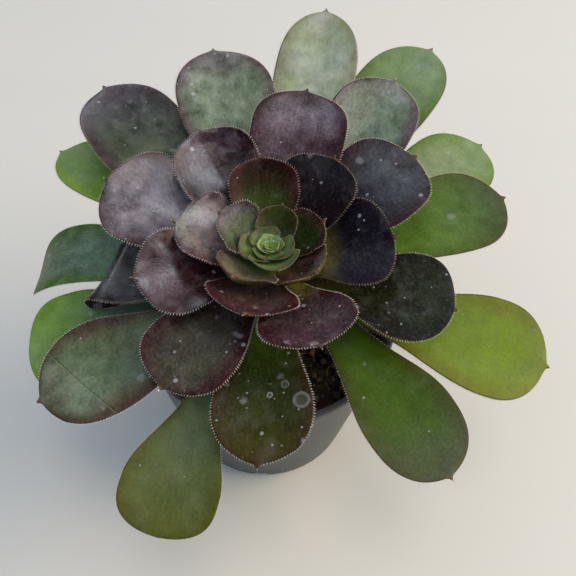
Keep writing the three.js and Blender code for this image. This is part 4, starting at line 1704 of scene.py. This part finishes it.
@dataclass(frozen=True)
class SoilBed:
    """The potting mix that fills the pot. Each wave of its top is a rate, how far another wave bends it,
    the rate of that one, and a phase."""

    level: float = 56.0
    relief: float = 1.0
    across_wave: tuple[float, float, float] = (0.55, 0.8, 0.31)
    along_wave: tuple[float, float, float, float] = (0.63, 1.1, 0.27, 2.0)
    slanting_wave: tuple[float, float] = (0.38, 4.0)
    crumb_height: float = 0.7
    crumb_size: float = 3.4
    seed: int = 41
    floor: float = 2.1
    foot_radius: float = 31.6
    rim_radius: float = 42.9
    rim_height: float = 65.0
    corner: float = 2.2
    shoulder: float = 3.0
    wall_gap: float = 0.3
    middle: float = 0.004
    top_rings: int = 110
    columns: int = 200
    stem_gap: float = 1.5
    inner_share: float = 0.05
    damp: Colour = (52, 42, 34)
    dry: Colour = (104, 84, 64)
    patch_size: float = 5.0
    patch_seed: int = 9
    patch_span: tuple[float, float] = (0.2, 1.2)

    def height(self, x: np.ndarray, y: np.ndarray) -> np.ndarray:
        """Height of the lumpy top: three crossed waves, with rough crumbs on them.

        Args:
            x: places across the pot.
            y: places along it.

        Returns:
            The height at each place.
        """
        rate, bend, bend_rate = self.across_wave
        waves = np.sin(x * rate + bend * np.sin(y * bend_rate))
        rate, bend, bend_rate, phase = self.along_wave
        waves = waves + np.sin(y * rate + bend * np.sin(x * bend_rate) + phase)
        rate, phase = self.slanting_wave
        waves = waves + np.sin((x + y) * rate + phase)
        crumbs = rough_noise(flat_spots(x, y), self.crumb_size, self.seed)
        return self.level + self.relief * waves / 3 + self.crumb_height * crumbs

    def wall_radius(self, z: np.ndarray) -> np.ndarray:
        """Radius of the pot's inner wall at heights."""
        return ramp(z, 0, self.rim_height, self.foot_radius, self.rim_radius)

    def surface(self) -> Surface:
        """The filled body: rings up the wall of the pot, then rings over the top to its middle.

        Returns:
            Its closed surface.
        """
        wall = np.array([self.floor, self.floor + self.corner, self.level - self.shoulder])
        wall_radius = self.wall_radius(wall) - np.array([self.corner, 0, 0])
        top_radius = float(self.wall_radius(self.level)) - self.wall_gap
        radius = np.concatenate([wall_radius, top_radius * np.linspace(1, self.middle, self.top_rings)])
        turns = np.linspace(0, 2 * np.pi, self.columns, endpoint=False)
        ring, angle = np.meshgrid(radius, turns, indexing="ij")
        x, y = ring * np.cos(angle), ring * np.sin(angle)
        top = len(wall)
        z = np.concatenate([np.repeat(wall[:, None], self.columns, 1), self.height(x[top:], y[top:])])
        points = np.stack([x, y, z], -1).reshape(-1, 3)
        points = np.concatenate([points, [[0, 0, self.floor], [0, 0, float(z[-1].mean())]]])
        patches = rough_noise(points, self.patch_size, self.seed + self.patch_seed)
        tint = mixed(linear(self.damp), linear(self.dry), smooth(patches, *self.patch_span))
        return Surface.plain(points, tube_faces(len(radius), self.columns), tint)

    def scatter(self, random: np.random.Generator, count: int, reach: float) -> np.ndarray:
        """Random places on the bed, clear of the stem and the wall.

        Args:
            random: the seeded source of the draws.
            count: how many are drawn, before those near the stem are left out.
            reach: the furthest from the middle.

        Returns:
            The places on the bed.
        """
        spread = reach * np.sqrt(random.uniform(self.inner_share, 1, count))
        angle = random.uniform(0, 2 * np.pi, count)
        x, y = spread * np.cos(angle), spread * np.sin(angle)
        stem = STEM.axis(np.array(self.level))
        away = np.hypot(x - stem[0], y - stem[1]) > STEM.radius + self.stem_gap
        return np.stack([x, y, self.height(x, y)], -1)[away]


@dataclass(frozen=True)
class Grains:
    """Loose grains of one kind. Sizes are half sizes in mm, proportions run along a grain's own axes, and a
    size runs from least to least and spread by a power that makes large ones rare."""

    count: int
    reach: float
    lift: float
    dark: Colour
    pale: Colour
    proportions: tuple[float, float, float]
    stretch: tuple[float, float]
    least: float = 1.0
    spread: float = 0.0
    rarity: float = 1.0
    tone_power: int = 1
    pulled_in: float = 0.55

    def surface(self, random: np.random.Generator, bed: SoilBed) -> Surface:
        """Rough grains: each is an eight-cornered lump whose corners are pulled in at random, turned about
        all three axes by a random rotation.

        Args:
            random: the seeded source of the draws.
            bed: the bed that they lie on.

        Returns:
            All grains as one surface.
        """
        places = bed.scatter(random, self.count, self.reach)
        count = len(places)
        size = self.least
        if self.spread:
            size = self.least + self.spread * random.uniform(0, 1, (count, 1)) ** self.rarity
        sizes = size * random.uniform(*self.stretch, (count, 3)) * np.array(self.proportions)
        tones = mixed(linear(self.dark), linear(self.pale), random.uniform(0, 1, count) ** self.tone_power)
        corners = np.array([[a, b, c] for a in (-1, 1) for b in (-1, 1) for c in (-1, 1)], float)
        shape = corners[None] * sizes[:, None, :] * random.uniform(self.pulled_in, 1.0, (count, 8, 3))
        turn = np.linalg.qr(random.normal(size=(count, 3, 3)))[0]
        turn[:, :, 2] *= np.sign(np.linalg.det(turn))[:, None]
        middles = places + [0, 0, self.lift]
        points = (np.einsum("nij,nkj->nki", turn, shape) + middles[:, None, :]).reshape(-1, 3)
        quads = np.array([[0, 1, 3, 2], [4, 6, 7, 5], [0, 4, 5, 1], [2, 3, 7, 6], [0, 2, 6, 4], [1, 5, 7, 3]])
        faces = (8 * np.arange(count)[:, None, None] + quads[None]).reshape(-1, 4)
        return Surface.plain(points, [faces], np.repeat(tones, 8, axis=0))


@dataclass(frozen=True)
class Fibres:
    """Thin fibres that lie on the bed. Pairs are the least and the most of a random size."""

    count: int = 46
    reach: float = 39.0
    edge: float = 40.2
    steps: int = 9
    sides: int = 4
    lengths: tuple[float, float] = (5.0, 15.0)
    bend: float = 1.8
    lift: float = 0.25
    arches: tuple[float, float] = (0.0, 1.2)
    radii: tuple[float, float] = (0.09, 0.2)
    taper: float = 1.6
    colour: Colour = (176, 144, 100)
    tones: tuple[float, float] = (0.6, 1.4)

    def fibre(self, random: np.random.Generator, bed: SoilBed, place: np.ndarray) -> Surface:
        """One fibre: a thin four-sided tube along a gently bent line that lies on the bed and arches a
        little.

        Args:
            random: the seeded source of the draws.
            bed: the bed that it lies on.
            place: its middle.

        Returns:
            Its closed surface.
        """
        heading = random.uniform(0, 2 * np.pi)
        length = random.uniform(*self.lengths)
        k = np.linspace(-0.5, 0.5, self.steps)
        turn = heading + random.uniform(-self.bend, self.bend) * k
        x = place[0] + length * k * np.cos(turn)
        y = place[1] + length * k * np.sin(turn)
        inside = np.minimum(1, self.edge / np.maximum(np.hypot(x, y), 1e-6))
        x, y = x * inside, y * inside
        z = bed.height(x, y) + self.lift + random.uniform(*self.arches) * np.cos(np.pi * k)
        radius = random.uniform(*self.radii) * (1 - self.taper * k**2)
        angle = 2 * np.pi * np.arange(self.sides) / self.sides
        across = np.stack([-np.sin(turn), np.cos(turn), 0 * turn], -1)
        ring = across[:, None] * np.cos(angle)[None, :, None]
        ring = ring + np.array([0, 0, 1.0]) * np.sin(angle)[None, :, None]
        line = np.stack([x, y, z], -1)
        points = (line[:, None] + radius[:, None, None] * ring).reshape(-1, 3)
        points = np.concatenate([points, line[[0, -1]]])
        tint = np.tile(linear(self.colour) * random.uniform(*self.tones), (len(points), 1))
        return Surface.plain(points, tube_faces(self.steps, self.sides), tint)


@dataclass(frozen=True)
class Soil:
    """The potting mix, with crumbs of peat, pale chips of bark and fibres lying on it."""

    bed: SoilBed = SoilBed()
    crumbs: Grains = Grains(
        count=1100, reach=40.4, lift=0.2, dark=(72, 64, 46), pale=(150, 122, 92), proportions=(1.0, 1.0, 1.0),
        stretch=(0.7, 1.2), least=0.35, spread=0.9, rarity=2.2, tone_power=2,
    )
    chips: Grains = Grains(
        count=90, reach=39.5, lift=0.5, dark=(96, 68, 46), pale=(190, 156, 112), proportions=(2.1, 0.9, 0.35),
        stretch=(0.5, 1.0),
    )
    fibres: Fibres = Fibres()

    def litter(self) -> Surface:
        """Crumbs, chips and fibres, all drawn in this order from one seeded source.

        Returns:
            All of them as one surface.
        """
        random = np.random.default_rng(self.bed.seed)
        grains = [kind.surface(random, self.bed) for kind in (self.crumbs, self.chips)]
        places = self.bed.scatter(random, self.fibres.count, self.fibres.reach)
        fibres = Surface.joined([self.fibres.fibre(random, self.bed, place) for place in places])
        return Surface.joined([*grains, fibres])

    def build(self) -> None:
        """Makes the bed in place of its node, and the litter that lies on it."""
        material = POTTING_MIX.material()
        bed = self.bed.surface().piece("soil_bed", material, Slot.SOIL)
        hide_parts("soil")
        litter = self.litter().piece("soil_litter", material, Slot.SOIL)
        litter.data.polygons.foreach_set("use_smooth", np.zeros(len(litter.data.polygons), bool))
        report(bed)
        report(litter)


@dataclass(frozen=True)
class PotPlastic:
    """Finish of the pot: thin dark plastic with a fine drawn grain, faint scuffs and a little dust. Scales
    are for places in metres."""

    name: str = "pot_plastic"
    colour: Colour = (80, 81, 81)
    dust: Colour = (150, 146, 138)
    dust_share: float = 0.16
    fine_scale: float = 900.0
    broad_scale: float = 60.0
    drawn_scale: tuple[float, float, float] = (420.0, 420.0, 16.0)
    broad_span: tuple[float, float] = (0.5, 0.78)
    fine_span: tuple[float, float] = (0.35, 0.75)
    roughness: float = 0.34
    roughness_change: float = 0.2
    fine_height: float = 0.4
    bump: float = 0.12
    bump_height: float = 0.0002
    specular: float = 0.45

    def material(self) -> bpy.types.Material:
        """Builds the plastic's material.

        Returns:
            The material.
        """
        bench = NodeBench(self.name)
        place = bench.add("TexCoord").outputs["Object"]
        fine = bench.noise(place, self.fine_scale, 3.0)
        broad = bench.noise(place, self.broad_scale, 4.0)
        drawn = bench.noise(bench.stretched(place, self.drawn_scale), 1.0, 3.0)
        scuffed, grainy = bench.step(broad, *self.broad_span), bench.step(fine, *self.fine_span)
        dusty = bench.product(scuffed, grainy, self.dust_share)
        height = bench.math("ADD", bench.product(fine, self.fine_height), drawn)
        bench.set_shader(
            Base_Color=bench.mix(opaque(self.colour), opaque(self.dust), dusty),
            Roughness=bench.math("ADD", bench.product(broad, self.roughness_change), self.roughness),
            Normal=bench.relief(height, self.bump, self.bump_height),
            Specular_IOR_Level=self.specular,
        )
        return bench.material


@dataclass(frozen=True)
class Pot:
    """The nursery pot: a merged copy of its solid with smooth walls and crisp edges."""

    merge_distance: float = 0.00002
    crease: float = 28.0
    plastic: PotPlastic = PotPlastic()

    def build(self) -> None:
        """Makes the pot's piece in place of its node."""
        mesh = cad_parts["pot"].data.copy()
        mesh.name = "pot_shell"
        shape = bmesh.new()
        shape.from_mesh(mesh)
        bmesh.ops.remove_doubles(shape, verts=shape.verts, dist=self.merge_distance)
        for face in shape.faces:
            face.smooth = True
        for edge in shape.edges:
            edge.smooth = len(edge.link_faces) == 2 and edge.calc_face_angle() < math.radians(self.crease)
        shape.to_mesh(mesh)
        shape.free()
        mesh.materials.clear()
        mesh.materials.append(self.plastic.material())
        piece = bpy.data.objects.new("pot_shell", mesh)
        bpy.context.scene.collection.objects.link(piece)
        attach(piece, BODY)
        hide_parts("pot")
        report(piece)


def pose(right: np.ndarray, up: np.ndarray, back: np.ndarray, place: np.ndarray) -> Matrix:
    """The matrix that turns an object's own axes to three directions and puts it at a place."""
    turn = np.stack([right, up, back, place], 1)
    return Matrix([*turn.tolist(), [0, 0, 0, 1]])


@dataclass(frozen=True)
class Softbox:
    """A square lamp that faces the plant. Its direction runs from the plant to it, its size is metres, its
    power watts, and one that doesn't light shows only as a reflection in waxy skin."""

    name: str
    direction: tuple[float, float, float]
    size: float
    power: float
    colour: Colour
    lights: bool
    distance: float = 2.0
    aim_height: float = 0.08

    def hang(self) -> None:
        """Hangs the lamp."""
        data = bpy.data.lights.new(self.name, "AREA")
        data.shape = "SQUARE"
        data.size = self.size
        data.energy = self.power
        data.color = tuple(linear(self.colour))
        back = np.array(self.direction) / np.linalg.norm(self.direction)
        side = np.cross([0, 0, 1.0], back)
        side /= np.linalg.norm(side)
        lamp = bpy.data.objects.new(self.name, data)
        place = back * self.distance + [0, 0, self.aim_height]
        lamp.matrix_world = pose(side, np.cross(back, side), back, place)
        lamp.visible_diffuse = self.lights
        bpy.context.scene.collection.objects.link(lamp)


@dataclass(frozen=True)
class Studio:
    """Plain pale floor, soft daylight from the right and behind, and the camera that looks down from the
    front."""

    elevation: float = 51.6
    roll: float = 2.5
    field_of_view: float = 45.0
    target: tuple[float, float, float] = (7.3, 9.0, 65.0)
    distance: float = 246.15
    nearest: float = 0.01
    farthest: float = 20.0
    floor_half: float = 1.6
    floor_colour: Colour = (226, 220, 211)
    floor_scale: tuple[float, float, float] = (3.0, 11.0, 1.0)
    floor_tones: tuple[float, float] = (0.96, 1.03)
    floor_roughness: float = 0.6
    floor_specular: float = 0.3
    lamps: tuple[Softbox, ...] = (
        Softbox("window", (0.9, 0.1, 0.45), 1.3, 37.4, (255, 238, 207), True),
        Softbox("skylight", (0.05, -0.14, 1.0), 0.6, 5.0, (255, 234, 226), True),
        Softbox("high_pane", (0.44, 0.14, 0.88), 0.8, 14.0, (244, 244, 255), False),
        Softbox("back_pane", (-0.2, 0.6, 0.78), 0.9, 8.0, (240, 244, 255), False),
    )
    room_colour: Colour = (213, 234, 255)
    room_strength: float = 0.7

    def camera(self) -> None:
        """Places the camera on its line of sight, turned a little about it."""
        rise_angle, roll = math.radians(self.elevation), math.radians(self.roll)
        back = np.array([0, -math.cos(rise_angle), math.sin(rise_angle)])
        level = np.array([1.0, 0, 0])
        rise = np.array([0, math.sin(rise_angle), math.cos(rise_angle)])
        right = math.cos(roll) * level + math.sin(roll) * rise
        up = -math.sin(roll) * level + math.cos(roll) * rise
        data = bpy.data.cameras.new("camera")
        data.angle = math.radians(self.field_of_view)
        data.clip_start = self.nearest
        data.clip_end = self.farthest
        camera = bpy.data.objects.new("camera", data)
        camera.matrix_world = pose(right, up, back, (np.array(self.target) + back * self.distance) * MM)
        bpy.context.scene.collection.objects.link(camera)
        bpy.context.scene.camera = camera

    def floor(self) -> None:
        """A plain pale table top with hardly any grain."""
        bench = NodeBench("table_top")
        place = bench.add("TexCoord").outputs["Object"]
        grain = bench.noise(bench.stretched(place, self.floor_scale), 1.0, 4.0)
        dark, pale = ((*(linear(self.floor_colour) * tone), 1.0) for tone in self.floor_tones)
        bench.set_shader(
            Base_Color=bench.mix(dark, pale, grain),
            Roughness=self.floor_roughness,
            Specular_IOR_Level=self.floor_specular,
        )
        mesh = bpy.data.meshes.new("floor")
        h = self.floor_half
        mesh.from_pydata([(-h, -h, 0), (h, -h, 0), (h, h, 0), (-h, h, 0)], [], [(0, 1, 2, 3)])
        mesh.materials.append(bench.material)
        floor = bpy.data.objects.new("floor", mesh)
        bpy.context.scene.collection.objects.link(floor)

    def room(self) -> None:
        """The even light of the room, which shows in no reflection."""
        world = bpy.data.worlds.new("room")
        world.use_nodes = True
        background = world.node_tree.nodes["Background"]
        background.inputs["Color"].default_value = opaque(self.room_colour)
        background.inputs["Strength"].default_value = self.room_strength
        world.cycles_visibility.glossy = False
        bpy.context.scene.world = world
        bpy.context.scene.view_settings.view_transform = "Standard"

    def build(self) -> None:
        """Makes the camera, the floor and the lights."""
        self.camera()
        self.floor()
        for lamp in self.lamps:
            lamp.hang()
        self.room()


def main() -> None:
    """Builds the studio, then each piece of the plant and its pot."""
    logging.basicConfig(level=logging.INFO, format="%(name)s: %(message)s")
    Studio().build()
    Rosette().build()
    StemPiece().build()
    Soil().build()
    Pot().build()


if __name__ == "__main__":
    main()
